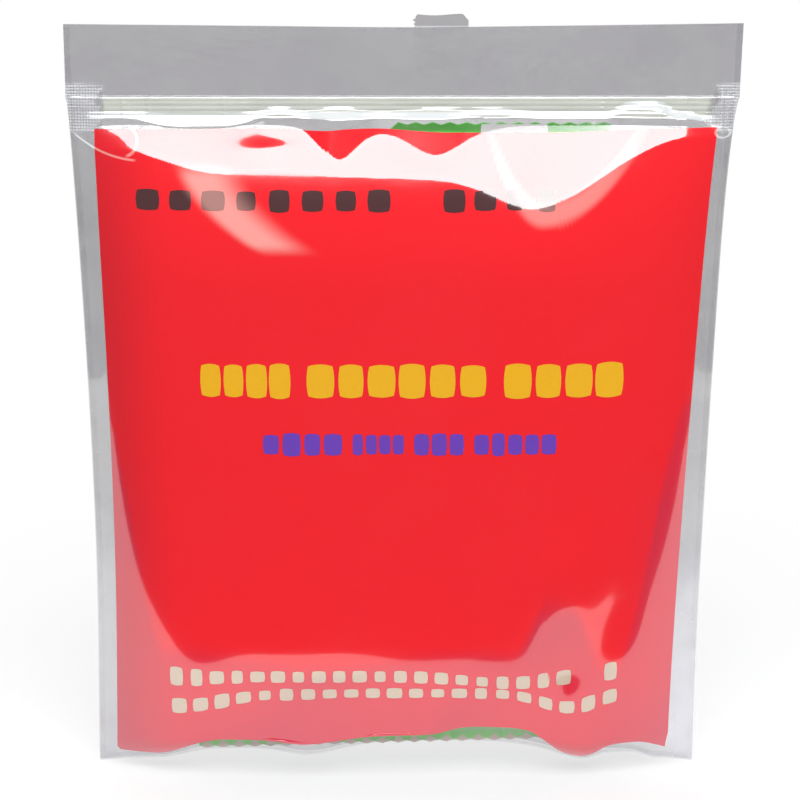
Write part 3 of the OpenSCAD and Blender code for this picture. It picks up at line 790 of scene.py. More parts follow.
# Lays flat x, height and thickness onto the film's curved face; three passes find the s of an x
def wrapOnFilm(co, base, thick):
    u = co[:, 1]
    s = (co[:, 0] - midX(u)) / halfWide
    for _ in range(3):
        s = s + (co[:, 0] - filmX(s, u)) / halfWide
    w = rowOf(maximum(0.5 * mm, u - 0.6 * creaseHeight(s) * creaseFade(u)))
    return filmSkin(s, w, base + thick * co[:, 2])


blockRow = blockRowTree()


def markRow(name, row):
    co, faces, count = [], [], 0
    at = row["left"]
    for index, (blocks, length) in enumerate(row["words"]):
        mesh = grown(blockRow, name, Count=blocks, Length=length * mm, Height=row["height"],
                     Filled=row["filled"], Vary=row["vary"], Seed=row["seed"] + index, Ink=row["ink"])
        here = points(mesh)
        here[:, 0] += at
        co.append(here)
        faces += [[v + count for v in face.vertices] for face in mesh.polygons]
        count += len(here)
        at += (length + row["space"]) * mm
        bpy.data.meshes.remove(mesh)
    co = np.concatenate(co)
    across = (co[:, 0] - middleX) / halfWide
    if row["sway"]:
        co[:, 1] *= 1 + bumps(across, squash)
        co[:, 1] += bumps(across, row["sway"])
    co[:, 1] += row["up"]
    base = over + panel["thick"] + markLayer["off"]
    mesh = smoothMesh(name, wrapOnFilm(co, base, markLayer["thick"]), faces)
    mesh.set_sharp_from_angle(angle=0.8)
    # The marks take the same painted floor reflection and painted sheen as the panel
    paintPrint(mesh, across, co[:, 1])
    return link(mesh, name, row["ink"])


markPieces = [markRow(name + "Marks", row) for name, row in marks.items()]
print("marks wrapped")

# Zip strips, crushed zip ends, welds, back film and tape
grooveLow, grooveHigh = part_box("zip_groove_strip")
zipProfile = {"trackGap": 3.2 * mm, "columns": 160, "rows": 60}
# The strips run on until the crushed ends begin
stripFrom = middleX - crushFrom["left"] * halfWide
stripTo = middleX + crushFrom["right"] * halfWide


# A rib strip has one rail at each track; a groove strip has two, one phase above and one below
def zipStrip(name, low, high, outward, wide, phase):
    p = zipProfile
    x, z = meshgrid(linspace(stripFrom, stripTo, p["columns"]), linspace(low.z, high.z, p["rows"]))
    mid = (low.z + high.z) / 2
    rails = [side * p["trackGap"] / 2 + shift for side in (-1, 1) for shift in sorted({-phase, phase})]
    rail = sum(bell(z, mid + rise, wide, 8) for rise in rails)
    depth = high.y - low.y
    web = 0.28 * depth
    raised = web + (depth - web) * rail
    near, far = (low.y, low.y + raised) if outward else (high.y - raised, high.y)
    return closedGrid(name, place(x, near, z), place(x, far, z), zipMat)


ribStrip = zipStrip("zipRibStrip", zipLow, zipHigh, True, 0.3 * mm, 0)
grooveStrip = zipStrip("zipGrooveStrip", grooveLow, grooveHigh, False, 0.2 * mm, 0.8 * mm)


# A crushed zip end: staggered rows of small four-sided bumps pressed on a thin plate
def crushTree():
    tree, g = newTree("crushedEnd", "Width Height Pitch Rise", Finish="Material")
    pitch = g["Pitch"]
    innerUp = g["Height"] - pitch
    upward = (g["Height"] / (pitch * 0.6)).do("FLOOR")
    spots = grow(tree, "MeshGrid", Size_X=g["Width"] - pitch * 1.6, Size_Y=innerUp,
                 Vertices_X=(g["Width"] / pitch).do("FLOOR"), Vertices_Y=upward)
    knob = grow(tree, "MeshCone", Vertices=4, Radius_Top=pitch * 0.14, Radius_Bottom=pitch * 0.52,
                Depth=g["Rise"])
    row = innerUp / (upward - 1.0).do("MAXIMUM", 1.0)
    which = ((position(tree)[1] + innerUp * 0.5) / row).do("ROUND")
    slid = (which.do("FLOORED_MODULO", 2.0) - 0.5) * (pitch * 0.5)
    staggered = grow(tree, "SetPosition", Geometry=spots, Offset=vector(tree, slid))
    many = grow(tree, "InstanceOnPoints", Points=staggered, Instance=knob)
    real = grow(tree, "RealizeInstances", Geometry=many)
    plate = grow(tree, "MeshCube", Size=vector(tree, g["Width"], g["Height"], g["Rise"]))
    lowered = grow(tree, "Transform", Geometry=plate, Translation=vector(tree, z=g["Rise"] * -0.5))
    return finished(tree, joined(tree, real, lowered), g["Finish"])


crushed = {
    "lean": 0.02,
    **inMm(pitch=1.3, rise=0.10, reach=2.6),
}
crushedEnd = crushTree()
crushMat = grained("crushedZipEnd", (0.80, 0.80, 0.82), 0.22, 260.0, 3.0, (0.72, 0.72, 0.74),
                   (0.95, 0.95, 0.96), 0.0001, 0.5, Coat_Weight=1.0, Coat_Roughness=0.1, Alpha=0.26).mat


def crushPiece(name, node, outward):
    low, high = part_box(node)
    reach = crushed["reach"]
    inner, outer = (stripTo, high.x + reach) if outward > 0 else (low.x - reach, stripFrom)
    mesh = grown(crushedEnd, name, Width=outer - inner, Height=high.z - low.z, Pitch=crushed["pitch"],
                 Rise=crushed["rise"], Finish=crushMat)
    across, up, out = points(mesh).T
    x = across + (inner + outer) / 2 + crushed["lean"] * up
    setPoints(mesh, place(x, low.y + crushed["rise"] - out, up + (low.z + high.z) / 2))
    return link(mesh, name, crushMat)


crushLeft = crushPiece("crushedZipLeft", "zip_crush_left", -1)
crushRight = crushPiece("crushedZipRight", "zip_crush_right", 1)

back = {
    "columns": 130, "rows": 150,
    **inMm(wave=0.14, weld=2, crease=2, gap=0.2, inset=0.03),
}


def backPlane(s, u):
    return filmX(s, u), baseZ + u + creaseHeight(s) * creaseFade(u) + topRise(s, u)


def flatFilm(name, sValues, uValues, nearY, farY, material, wave=0.0):
    s, u = meshgrid(sValues, uValues)
    x, z = backPlane(s, u)
    soft = wave * sin(6.1 * s + 21 * u) * cos(3.7 * s - 33 * u) * (1 - s ** 6)
    uv = place(s * halfWide, u)
    made = closedGrid(name, place(x, nearY + soft, z), place(x, farY + soft, z), material, uv)
    paintAttributes(made, s, u)
    return made


across = linspace(-1, 1, back["columns"])
backFilm = flatFilm("pouchBackFilm", across, linspace(0, height, back["rows"]), backLow.y + spare,
                    backHigh.y + spare, filmBackMat, back["wave"])
edge = 1 - back["weld"] / halfWide
weldNear, weldFar = creaseLow.y + back["inset"], creaseHigh.y - back["inset"]
weldUp = linspace(back["crease"] + back["gap"], height, back["rows"])
weldLeft = flatFilm("weldLeft", linspace(-1, -edge, 5), weldUp, weldNear, weldFar, seamMat)
weldRight = flatFilm("weldRight", linspace(edge, 1, 5), weldUp, weldNear, weldFar, seamMat)
creaseUp = linspace(0, back["crease"], 6)
baseCrease = flatFilm("baseCrease", linspace(-1, 1, back["rows"]), creaseUp, weldNear, weldFar, seamMat)

tape = {
    "columns": 44, "rows": 90, "teeth": 14,
    **inMm(tooth=0.9, tear=1.0, wave=0.05, fall=1.9),
}
tapeLow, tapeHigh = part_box("hang_tape")
p = tape
a, t = meshgrid(linspace(0, 1, p["columns"]), linspace(0, 1, p["rows"]))
rise = t * (tapeHigh.z - tapeLow.z)
saw = abs((t * p["teeth"]) % 1 - 0.5) * 2
torn = (0.9 + 0.5 * sin(19 * t + 1)) * (0.6 + 0.4 * sin(47 * t))
leftEnd = tapeLow.x + p["tooth"] * saw + p["tear"] * torn
rightEnd = tapeHigh.x - 0.35 * p["tooth"] * (1 - saw)
x = leftEnd + (rightEnd - leftEnd) * a
z = tapeLow.z + rise - t ** 6 * (0.5 * mm * sin(3 * a + 0.6) ** 2 + p["fall"] * smooth((a - 0.86) / 0.14))
y = p["wave"] * sin(9 * a + 5 * t)
near, far = tapeLow.y + 0.12 * mm + y, tapeHigh.y - 0.06 * mm + y
tapeSheet = closedGrid("hangTape", place(x, near, z), place(x, far, z), tapeMat, place(x, z))
print("zip, seams, back film and tape made")

# Sachet: a pillow of green foil, thin at its ends, leaning back towards the zip
frontFoilLow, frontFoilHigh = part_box("sachet_front")
topSealLow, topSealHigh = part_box("sachet_top_seal")
lowSealLow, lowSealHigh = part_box("sachet_bottom_seal")
labelLow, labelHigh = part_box("sachet_label")
sachet = {
    "midX": (frontFoilLow.x + frontFoilHigh.x) / 2, "halfWidth": (frontFoilHigh.x - frontFoilLow.x) / 2,
    "slope": 0.30135, "columns": 120, "rows": 150, "slantTop": 2.4, "dropTop": 0.42, "slantLow": 0.15,
    "dropLow": -1.0,
    **inMm(thick=6, taper=35, edge=0.1, foil=0.25, passStart=0.65, sealStack=0.27, wrinkle=0.24, tooth=0.9,
           toothPitch=5.6, crimpPitch=1.4, crimp=0.06, paleTooth=2.3, reachUp=3.4, reachDown=2.1,
           clearOfZip=1.60, sealThick=0.14),
}
bodyLow = lowSealHigh.z - baseZ
bodyHigh = topSealLow.z - baseZ
middleDepth = -(lowSealLow.y + lowSealHigh.y) / 2


def swell(a, h):
    near = clip01(minimum(h - bodyLow, bodyHigh - h) / sachet["taper"])
    return sachet["thick"] * np.sqrt(maximum(0, 1 - abs(a) ** 4)) * sin(pi / 2 * near)


def sachetDepth(h):
    passing = sachet["passStart"] + sachet["slope"] * (zipFoot - h)
    return minimum(middleDepth, passing - swell(0 * h, h) / 2 - sachet["sealStack"])


def wrinkles(a, h):
    fromEnd = minimum(h - bodyLow, bodyHigh - h)
    fan = sin(23 * a + 2 * sin(5 * a)) * np.exp(-fromEnd / (20 * mm))
    soft = sin(4 * a + 60 * h) * sin(7 * a - 45 * h + 1) * 0.5
    return sachet["wrinkle"] * (fan + soft) * clip01((1 - abs(a)) / 0.1) * clip01(fromEnd / (6 * mm))


def foilGrid(side, a, h, off):
    y = -(sachetDepth(h) + side * off)
    return place(sachet["midX"] + a * sachet["halfWidth"], y, baseZ + h)


look = Look("greenFoil", (0.09, 0.60, 0.05), 0.28, Metallic=0.25, Coat_Weight=0.8, Coat_Roughness=0.10)
cloud = look.noise(18.0, 3.0, 0.6)
speck = look.noise(1300.0, 2.0)
green = look.tint(cloud, (0.08, 0.58, 0.04), (0.17, 0.76, 0.08))
green = look.tint(speck * 0.2, green, (0.04, 0.36, 0.03))
look.shade(look.painted("tip"), green, (0.56, 0.46, 0.38))
cells = look.num("Distance", "TexVoronoi", {"feature": "F1"}, Scale=48.0,
                 Vector=look.stretched((1.0, 1.0, 0.45), 0.35))
folded = look.bump(cells, 0.0009, 0.55)
dented = look.bump(look.noise(110.0, 4.0, 1.0), 0.0004, 0.7, folded)
look.bump(speck, 0.00002, 0.4, dented)
look.feed("Roughness", look.ramp(cloud, 0.3, 0.7, 0.2, 0.36))
foilMat = look.mat

p = sachet
across = sin(linspace(-pi / 2, pi / 2, p["columns"]))
a, h = meshgrid(across, linspace(bodyLow, bodyHigh, p["rows"]))
outer = swell(a, h) / 2 + p["edge"] - spare
crease = wrinkles(a, h)
inner = maximum(0.01 * mm, outer - p["foil"])
outer = maximum(inner + 0.06 * mm, outer + minimum(crease, 0.2 * mm))
foilUv = place(a * p["halfWidth"], h)
foilFront = closedGrid("sachetFrontFoil", foilGrid(1, a, h, outer), foilGrid(1, a, h, inner), foilMat, foilUv)
foilBack = closedGrid("sachetBackFoil", foilGrid(-1, a, h, inner), foilGrid(-1, a, h, outer), foilMat, foilUv)
a, h = meshgrid(linspace(0.01, 0.145, 14), linspace(bodyLow + 5 * mm, bodyHigh - 5 * mm, 160))
under = swell(a, h) / 2 + p["edge"] + 0.17 * mm
crimps = 0.04 * mm * sin(2 * pi * h / (1.6 * mm))
near, far = [foilGrid(-1, a, h, off) for off in (under - 0.05 * mm, under + 0.09 * mm + crimps)]
fin = closedGrid("sachetBackSeam", near, far, foilMat, place(a * p["halfWidth"], h))


# A crimped end seal with a toothed edge, as a closed strip lying flat
def sealTree():
    tree, g = newTree("toothedSeal", "Width Length Tooth Crimp Pitch Slant Drop Thick", Teeth="Int",
                      Finish="Material")
    strip = grow(tree, "MeshGrid", Size_X=g["Width"], Size_Y=1.0, Vertices_X=g["Teeth"] * 8.0 + 1.0,
                 Vertices_Y=44)
    x, y = position(tree)
    along = y + 0.5
    saw = (x * g["Teeth"] / g["Width"]).do("PINGPONG", 0.5) * 2.0
    tooth = saw * g["Tooth"] * along.do("POWER", 3.0)
    lean = x * 2.0 / g["Width"] * g["Slant"]
    cut = lean.do("MINIMUM", 0.0).do("MAXIMUM", g["Drop"] * -1.0)
    chosen = g["Drop"].do("GREATER_THAN", 0.0)
    reach = g["Length"] * (chosen * cut + (1.0 - chosen) * lean + 1.0)
    ribs = (x * (2 * pi) / g["Pitch"]).do("SINE")
    crimp = ribs * (g["Crimp"] * along.do("COMPARE", 0.5, 0.36))
    shaped = grow(tree, "SetPosition", Geometry=strip, Position=vector(tree, x, along * reach - tooth, crimp))
    slab = thickened(tree, shaped, 0.000001, Offset=vector(tree, z=1.0), Offset_Scale=g["Thick"])
    return finished(tree, slab, g["Finish"])


toothedSeal = sealTree()
leanAngle = np.arctan(sachet["slope"])


def sealPiece(name, length, slant, drop, highlightPink, laid):
    p = sachet
    width = 2 * p["halfWidth"]
    mesh = grown(toothedSeal, name, Width=width, Length=length, Teeth=round(width / p["toothPitch"]),
                 Tooth=p["tooth"], Crimp=p["crimp"], Pitch=p["crimpPitch"], Slant=slant, Drop=drop,
                 Thick=p["sealThick"], Finish=foilMat)
    x, y, z = points(mesh).T
    lean = slant * 2 * x / width
    reach = length * (1 + (np.clip(lean, -drop, 0) if drop > 0 else lean))
    zigzag = abs((x / p["toothPitch"]) % 1 - 0.5) * 2
    paint(mesh, "tip", smooth((y - reach + 0.5 * mm + p["paleTooth"] * zigzag) / (0.2 * mm)) * highlightPink)
    setPoints(mesh, laid(x, y, z - p["sealThick"] / 2))
    mesh.shade_smooth()
    return link(mesh, name, foilMat)


def onTopSeal(x, y, z):
    depth = sachetDepth(np.array([bodyHigh]))[0]
    rise = 0.05 * mm + y * cos(leanAngle) + z * sin(leanAngle)
    leaning = maximum(depth - y * sin(leanAngle), sachet["clearOfZip"])
    return place(sachet["midX"] + x, -(leaning + z * cos(leanAngle)), baseZ + bodyHigh + rise)


def onLowSeal(x, y, z):
    return place(sachet["midX"] - x, -(middleDepth + z), baseZ + bodyLow - y)


topLength = (topSealHigh.z - topSealLow.z) / cos(leanAngle) - 0.1 * mm + sachet["reachUp"]
lowLength = lowSealHigh.z - lowSealLow.z + sachet["reachDown"]
sealTop = sealPiece("sachetTopSeal", topLength, sachet["slantTop"], sachet["dropTop"], 0.0, onTopSeal)
sealLow = sealPiece("sachetLowSeal", lowLength, sachet["slantLow"], sachet["dropLow"], 1.0, onLowSeal)

labelMat = grained("whiteLabel", (0.86, 0.86, 0.85), 0.45, 1500.0, 3.0, (0.80, 0.80, 0.79),
                   (0.92, 0.92, 0.91), 0.00003, 0.5, Coat_Weight=0.3).mat
labelSpan = (labelHigh.x - labelLow.x) / 2
labelMid = (labelHigh.x + labelLow.x) / 2 - sachet["midX"]
labelTall = (labelHigh.z - labelLow.z) / cos(leanAngle)
a, t = meshgrid(linspace(-1, 1, 30), linspace(0, 1, 14))
tuck = 1 - 0.03 * (2 * t - 1) ** 8
x = labelMid + a * labelSpan * tuck
y = topLength - 0.7 * mm - labelTall + 0.1 * mm + t * (labelTall - 0.2 * mm)
gloss = 0.01 * mm * sin(8 * a + 5 * t)
label = closedGrid("sachetLabel", onTopSeal(x, y, 0.19 * mm + gloss), onTopSeal(x, y, 0.15 * mm), labelMat)
print("sachet made")


# Flat pieces with rounded corners: x and z grids that narrow towards both ends
def roundedGrid(low, high, radius, nx, nz):
    ends = radius * (1 - cos(linspace(0, pi / 2, 7)))
    middle = linspace(ends[-1], high.z - low.z - ends[-1], nz)[1:-1]
    up = np.concatenate([ends, middle, (high.z - low.z) - ends[::-1]])
    near = minimum(up, up[-1] - up)
    inset = np.where(near < radius, radius - np.sqrt(maximum(0, radius ** 2 - (radius - near) ** 2)), 0)
    a, z = meshgrid(linspace(0, 1, nx), low.z + up)
    inset = np.repeat(inset[:, None], nx, axis=1)
    x = low.x + inset + a * (high.x - low.x - 2 * inset)
    return x, z, a, np.repeat((up / up[-1])[:, None], nx, axis=1)


def slab(name, node, radius, nx, nz, material, shape):
    low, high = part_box(node)
    x, z, a, t = roundedGrid(low, high, radius, nx, nz)
    near, far = shape(a, t, low.y + spare, high.y - spare)
    return closedGrid(name, place(x, near, z), place(x, far, z), material, place(x, z))


def softEdges(amount, power=6):
    def shape(a, t, near, far):
        flatness = (1 - abs(2 * a - 1) ** power * 0.999) * (1 - abs(2 * t - 1) ** (power * 2) * 0.999)
        return near + amount * (1 - flatness ** 0.5), far - amount * 0.3 * (1 - flatness ** 0.5)
    return shape


def weave(name, light, dark, scale, roughness, sheen):
    look = Look(name, light, roughness, Sheen_Weight=sheen)
    cross = look.wave("X", scale)
    thread = cross * look.wave("Z", scale * 1.1)
    look.shade(thread, dark, light)
    look.bump(thread, 0.0002, 0.8)
    return look.mat


def paper(name, light, dark, scale=140.0):
    look = Look(name, light, 0.55, Sheen_Weight=0.1)
    fibre = look.noise(1400.0, 3.0, where=look.stretched((1.0, 1.0, 0.3)))
    look.shade(look.noise(scale, 4.0) * 0.5 + fibre * 0.5, dark, light)
    look.bump(fibre, 0.00005, 0.6)
    return look.mat


leafMat = paper("leafletPaper", (0.88, 0.87, 0.83), (0.74, 0.73, 0.68))
bandMat = paper("bandPaper", (0.84, 0.80, 0.72), (0.66, 0.61, 0.52), 60.0)
elasticMat = weave("blackElastic", (0.045, 0.045, 0.05), (0.008, 0.008, 0.010), 220.0, 0.75, 0.5)
strapMat = weave("yellowStrap", (0.86, 0.62, 0.05), (0.50, 0.32, 0.02), 260.0, 0.6, 0.4)
towelMat = weave("towelCloth", (0.86, 0.88, 0.90), (0.62, 0.66, 0.70), 180.0, 0.8, 0.3)

look = grained("clearVisor", (0.55, 0.68, 0.78), 0.05, 500.0, 4.0, (0.48, 0.62, 0.74), (0.72, 0.82, 0.88),
               0, 0, stretch=(0.1, 1.0, 1.0), Coat_Weight=1.0, Alpha=0.45)
look.feed("Roughness", look.ramp(look.grain, 0.3, 0.8, 0.03, 0.16))
visorMat = look.mat
frameMat = grained("mouldedFrame", (0.035, 0.038, 0.042), 0.42, 1200.0, 3.0, (0.03, 0.032, 0.036),
                   (0.075, 0.08, 0.085), 0.00006, 0.6).mat
feltMat = grained("filterFelt", (0.13, 0.13, 0.135), 0.95, 700.0, 5.0, (0.07, 0.07, 0.075),
                  (0.24, 0.24, 0.25), 0.0003, 0.9, twist=1.5, Sheen_Weight=0.6).mat
look = Look("hoodFilm", (0.62, 0.72, 0.78), 0.22, Coat_Weight=0.8, Alpha=0.88)
look.shade(look.noise(40.0, 4.0, 1.0), (0.50, 0.62, 0.70), (0.78, 0.84, 0.88))
look.bump(look.noise(130.0, 3.0, 0.8, look.stretched((1.0, 1.0, 0.2))), 0.0005, 0.7)
hoodMat = look.mat


def leafShape(a, t, near, far):
    soft = 0.04 * mm * sin(5 * a + 3 * t) * sin(7 * t + 1)
    fold = 0.05 * mm * (bell(t, 0.5, 0.006) + 0.6 * bell(a, 0.5, 0.004))
    return near + soft + fold + spare, far + soft - fold - spare


leafBack = slab("leafletBack", "leaflet_back", 2 * mm, 60, 70, leafMat, leafShape)
leafFront = slab("leafletFront", "leaflet_front", 2 * mm, 60, 70, leafMat, leafShape)


def padShape(a, t, near, far):
    quilt = 0.22 * mm * abs(sin(4 * pi * a) * sin(3 * pi * t)) ** 0.5
    return softEdges(0.7 * mm)(a, t, near + 0.25 * mm - quilt, far)


def elasticShape(a, t, near, far):
    ruche = 0.30 * mm * (0.5 + 0.5 * sin(2 * pi * 46 * a + 2 * sin(6 * t)))
    return softEdges(0.5 * mm)(a, t, near + ruche, far)


visor = slab("hoodVisor", "hood_visor", 10 * mm, 60, 50, visorMat, softEdges(0.16 * mm, 10))
filterPad = slab("filterPad", "filter_pad", 5 * mm, 80, 60, feltMat, padShape)
elastic = slab("neckElastic", "neck_elastic", 3 * mm, 380, 10, elasticMat, elasticShape)
strap = slab("headStrap", "head_strap", 2 * mm, 16, 150, strapMat, softEdges(0.3 * mm))


# A ring swept round a rounded rectangle: a closed profile at each step of a closed path
def sweptRing(name, path, outwards, profile, material):
    count, around = len(path), len(profile)
    steps = zip(path, outwards)
    co = np.array([[(x + nx * p, d, z + nz * p) for p, d in profile] for (x, z), (nx, nz) in steps])
    at = np.arange(count * around).reshape(count, around)
    nextRow = np.roll(at, -1, axis=0)
    faces = np.stack([at, np.roll(at, -1, axis=1), np.roll(nextRow, -1, axis=1), nextRow], -1).reshape(-1, 4)
    return link(smoothMesh(name, co.reshape(-1, 3), faces.tolist()), name, material)


def roundedPath(x0, x1, z0, z1, radius, steps):
    path, outwards = [], []
    left, right, low, high = x0 + radius, x1 - radius, z0 + radius, z1 - radius
    for index, (x, z) in enumerate([(right, high), (left, high), (left, low), (right, low)]):
        for k in range(steps):
            angle = pi / 2 * (index + k / (steps - 1))
            nx, nz = cos(angle), sin(angle)
            path.append((x + radius * nx, z + radius * nz))
            outwards.append((nx, nz))
    return path, outwards


frameLow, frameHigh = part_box("filter_frame")
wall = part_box("filter_pad")[0].x - frameLow.x
near, far = frameLow.y + spare, frameHigh.y - spare
small, large, groove = 0.25 * mm, 0.7 * mm, 0.35 * mm
inside = 0.05 * mm - wall
profile = [(0, far), (0, near + large), (-small, near + small), (-large, near), (-1.9 * mm, near),
           (-2.1 * mm, near + groove), (-2.7 * mm, near + groove), (-2.9 * mm, near), (large - wall, near),
           (small - wall, near + small), (inside, near + large), (inside, far)]
path, outwards = roundedPath(frameLow.x, frameHigh.x, frameLow.z, frameHigh.z, 8 * mm, 14)
filterFrame = sweptRing("filterFrame", path, outwards, profile, frameMat)

bandLow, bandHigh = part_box("paper_band")
bandWall = 0.26 * mm
tall = bandHigh.z - bandLow.z
zSteps = [0, 0.02, 0.25, 0.5, 0.75, 0.98, 1]
profile = [(-bandWall, bandLow.z + tall * (1 - k)) for k in zSteps]
profile += [(0, bandLow.z + tall * k) for k in zSteps]
path, outwards = roundedPath(bandLow.x + spare, bandHigh.x - spare, bandLow.y + spare, bandHigh.y - spare,
                             0.8 * mm, 8)
paperBand = sweptRing("paperBand", path, outwards, profile, bandMat)
co = points(paperBand.data)[:, [0, 2, 1]]
setPoints(paperBand.data, co)


# A sheet folded up and down into a stack: its middle line as depth and height, then its thickness
def foldedStack(name, node, layers, air, material, nx, wave):
    low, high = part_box(node)
    depth = high.y - low.y - 0.1 * mm
    layer = (depth - (layers - 1) * air) / layers
    pitch = layer + air
    line = []
    for k in range(layers):
        y = high.y - 0.05 * mm - layer / 2 - k * pitch
        ups = linspace(low.z + pitch * 1.05, high.z - pitch * 1.05, 46)
        line += [(y, z) for z in (ups if k % 2 == 0 else ups[::-1])]
        if k < layers - 1:
            end = line[-1][1]
            way = 1 if k % 2 == 0 else -1
            for step in range(1, 8):
                angle = pi * step / 8
                inward = pitch / 2 * (1 - cos(angle))
                line.append((y - inward, end + way * pitch / 2 * sin(angle)))
    line = np.array(line)
    ahead = np.gradient(line, axis=0)
    ahead /= np.linalg.norm(ahead, axis=1, keepdims=True)
    normal = np.stack([-ahead[:, 1], ahead[:, 0]], -1)
    a, index = meshgrid(linspace(0, 1, nx), np.arange(len(line)))
    width = high.x - low.x
    ragged = wave * (0.5 + 0.5 * sin(index * 0.7) * sin(index * 0.23 + 1))
    x = low.x + ragged + a * (width - 2 * ragged)
    half = layer / 2 * 0.94
    sides = [place(x, *np.moveaxis((line + side * normal)[index], -1, 0)) for side in (half, -half)]
    length = np.linalg.norm(np.diff(line, axis=0), axis=1).sum()
    return closedGrid(name, *sides, material), width, length


hoodStack, hoodWide, hoodLong = foldedStack("foldedHood", "hood_film", 9, 0.12 * mm, hoodMat, 60, 0.6 * mm)
towel, towelWide, towelLong = foldedStack("wetTowel", "wet_towel", 3, 0.15 * mm, towelMat, 60, 0.5 * mm)
print("hood, towel and leaflet made")

# Camera, lamps, floor
view = {
    "lens": 86.9, "sensor": 36.0, "elevation": 16.0, "distance": 0.66, "aimX": -13.1 * mm,
    "aimUp": 134.1 * mm,
}
camera = link(bpy.data.cameras.new("camera"), "camera")
camera.data.lens = view["lens"]
camera.data.sensor_width = view["sensor"]
camera.data.clip_start = 0.01
lift = np.radians(view["elevation"])
aim = Vector((view["aimX"], 0, baseZ + view["aimUp"]))
camera.location = aim + view["distance"] * Vector((0, -cos(lift), sin(lift)))
camera.rotation_euler = (pi / 2 - lift, 0, 0)
bpy.context.scene.camera = camera
bpy.context.scene.view_settings.view_transform = "Standard"
target = Vector((middleX, -0.01, printHigh.z - 0.015))


# A rectangular lamp aimed at the top of the print: side is -1 in front and 1 behind
def areaLamp(name, side, radiance, elevation, turn, distance, wide, high):
    lamp = bpy.data.lights.new(name, "AREA")
    lamp.shape = "RECTANGLE"
    lamp.size = wide
    lamp.size_y = high
    lamp.energy = radiance * pi * wide * high
    placed = link(lamp, name)
    up = np.radians(elevation)
    aside = np.radians(turn)
    way = Vector((sin(aside) * cos(up), side * cos(aside) * cos(up), sin(up)))
    placed.location = target + distance * way
    placed.rotation_euler = (target - placed.location).to_track_quat("-Z", "Y").to_euler()


areaLamp("softbox", -1, radiance=6.0, elevation=48.5, turn=6.0, distance=1.05, wide=1.10, high=0.58)
areaLamp("rearFill", 1, radiance=1.7, elevation=38.0, turn=-24.0, distance=1.2, wide=1.2, high=0.7)


def emptied(owner):
    owner.use_nodes = True
    owner.node_tree.nodes.clear()
    return Shading(owner.node_tree)


studio = {"skyStrength": 0.53, "frontShade": 0.08}
world = bpy.data.worlds.new("studio")
bpy.context.scene.world = world
sky = emptied(world)
depthwise = sky.num("Y", "SeparateXYZ", Vector=sky.put("TexCoord").outputs["Generated"])
away = sky.ramp(depthwise, -0.1, 0.7, studio["frontShade"], 1.0)
plain = sky.put("Background", Color=(0.97, 0.98, 1.0), Strength=studio["skyStrength"])
mirrored = sky.put("Background", Color=(1, 1, 1), Strength=away)
white = sky.put("Background", Color=(1, 1, 1), Strength=1.0)
lit = sky.mix(sky.rays("Camera", "Transmission"), sky.mix(sky.rays("Glossy"), plain, mirrored), white)
sky.put("OutputWorld", Surface=lit.outputs[0])

ground = {
    "near": -0.13, "far": 1.6, "left": -0.62, "right": 0.60, "clearFrom": 0.10, "clearBy": 0.40,
    "drop": 0.6 * mm,
}
floorZ = frontLow.z - ground["drop"]
corners = [(ground["left"], ground["near"]), (ground["right"], ground["near"]),
           (ground["right"], ground["far"]), (ground["left"], ground["far"])]
floorMesh = bpy.data.meshes.new("floor")
floorMesh.from_pydata([(x, y, floorZ) for x, y in corners], [], [(0, 1, 2, 3)])
floorMat = bpy.data.materials.new("paleFloor")
floorTree = emptied(floorMat)
diffuse = floorTree.put("BsdfDiffuse", Color=(0.88, 0.88, 0.88))
glow = floorTree.put("Emission", Color=(1, 1, 1), Strength=1.0)
seen = floorTree.rays("Camera", "Glossy", "Transmission")
spot = floorTree.put("Mapping", Vector=floorTree.put("TexCoord").outputs["Object"],
                    Location=(-middleX, 0, -floorZ)).outputs[0]
distance = floorTree.num("Value", "VectorMath", {"operation": "LENGTH"}, i0=spot)
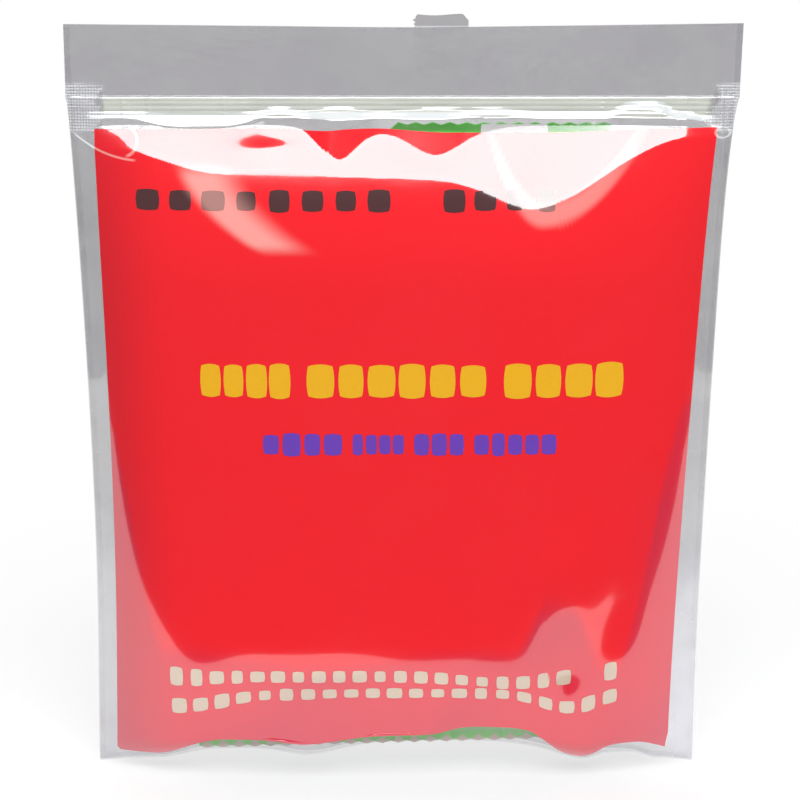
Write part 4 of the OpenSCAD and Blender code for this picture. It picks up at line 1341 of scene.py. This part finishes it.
clear = floorTree.ramp(distance, ground["clearFrom"], ground["clearBy"], 0.55, 1.0)
floorTree.put("OutputMaterial", Surface=floorTree.mix(seen * clear, diffuse, glow).outputs[0])
floor = link(floorMesh, "floor", floorMat)
print("camera, lamps and floor set")

# Each piece by the body that carries it, with the solid it stands for and its finish; the front pieces are
# listed under bends and carried by no body
carried = {
    "bends": [(filmSheet, "front_film", "film_clear"), (panelSheet, "front_print", "print_red"),
              (ribStrip, "zip_rib_strip", "zip_clear")],
    "pouch": [(grooveStrip, "zip_groove_strip", "zip_clear"), (crushLeft, "zip_crush_left", "seam_film"),
              (crushRight, "zip_crush_right", "seam_film"), (backFilm, "back_film", "film_clear"),
              (weldLeft, "side_weld_left", "seam_film"), (weldRight, "side_weld_right", "seam_film"),
              (baseCrease, "bottom_crease", "seam_film"), (tapeSheet, "hang_tape", "tape_clear")],
    "sachet": [(foilFront, "sachet_front", "foil_green"), (foilBack, "sachet_back", "foil_green"),
               (fin, "sachet_fin", "foil_green"), (sealTop, "sachet_top_seal", "foil_seal"),
               (sealLow, "sachet_bottom_seal", "foil_seal"), (label, "sachet_label", "label_white"),
               (towel, "wet_towel", "towel_cloth")],
    "hood": [(hoodStack, "hood_film", "hood_film"), (visor, "hood_visor", "visor_clear"),
             (filterFrame, "filter_frame", "frame_plastic"), (filterPad, "filter_pad", "filter_felt"),
             (elastic, "neck_elastic", "elastic_black"), (strap, "head_strap", "strap_yellow"),
             (paperBand, "paper_band", "band_paper")],
    "leaflet": [(leafBack, "leaflet_back", "leaflet_paper"), (leafFront, "leaflet_front", "leaflet_paper")],
}


# The front pieces stay where they are: each has its transform baked into its mesh
def bendWithFront(piece):
    co = points(piece.data)
    s = (co[:, 0] - midX(co[:, 2] - baseZ)) / halfWide
    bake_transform(piece)


for body, rows in carried.items():
    for piece, node, finish in rows:
        if body == "bends":
            bendWithFront(piece)
        else:
            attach(piece, body)
        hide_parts(node)
for piece in markPieces:
    bendWithFront(piece)
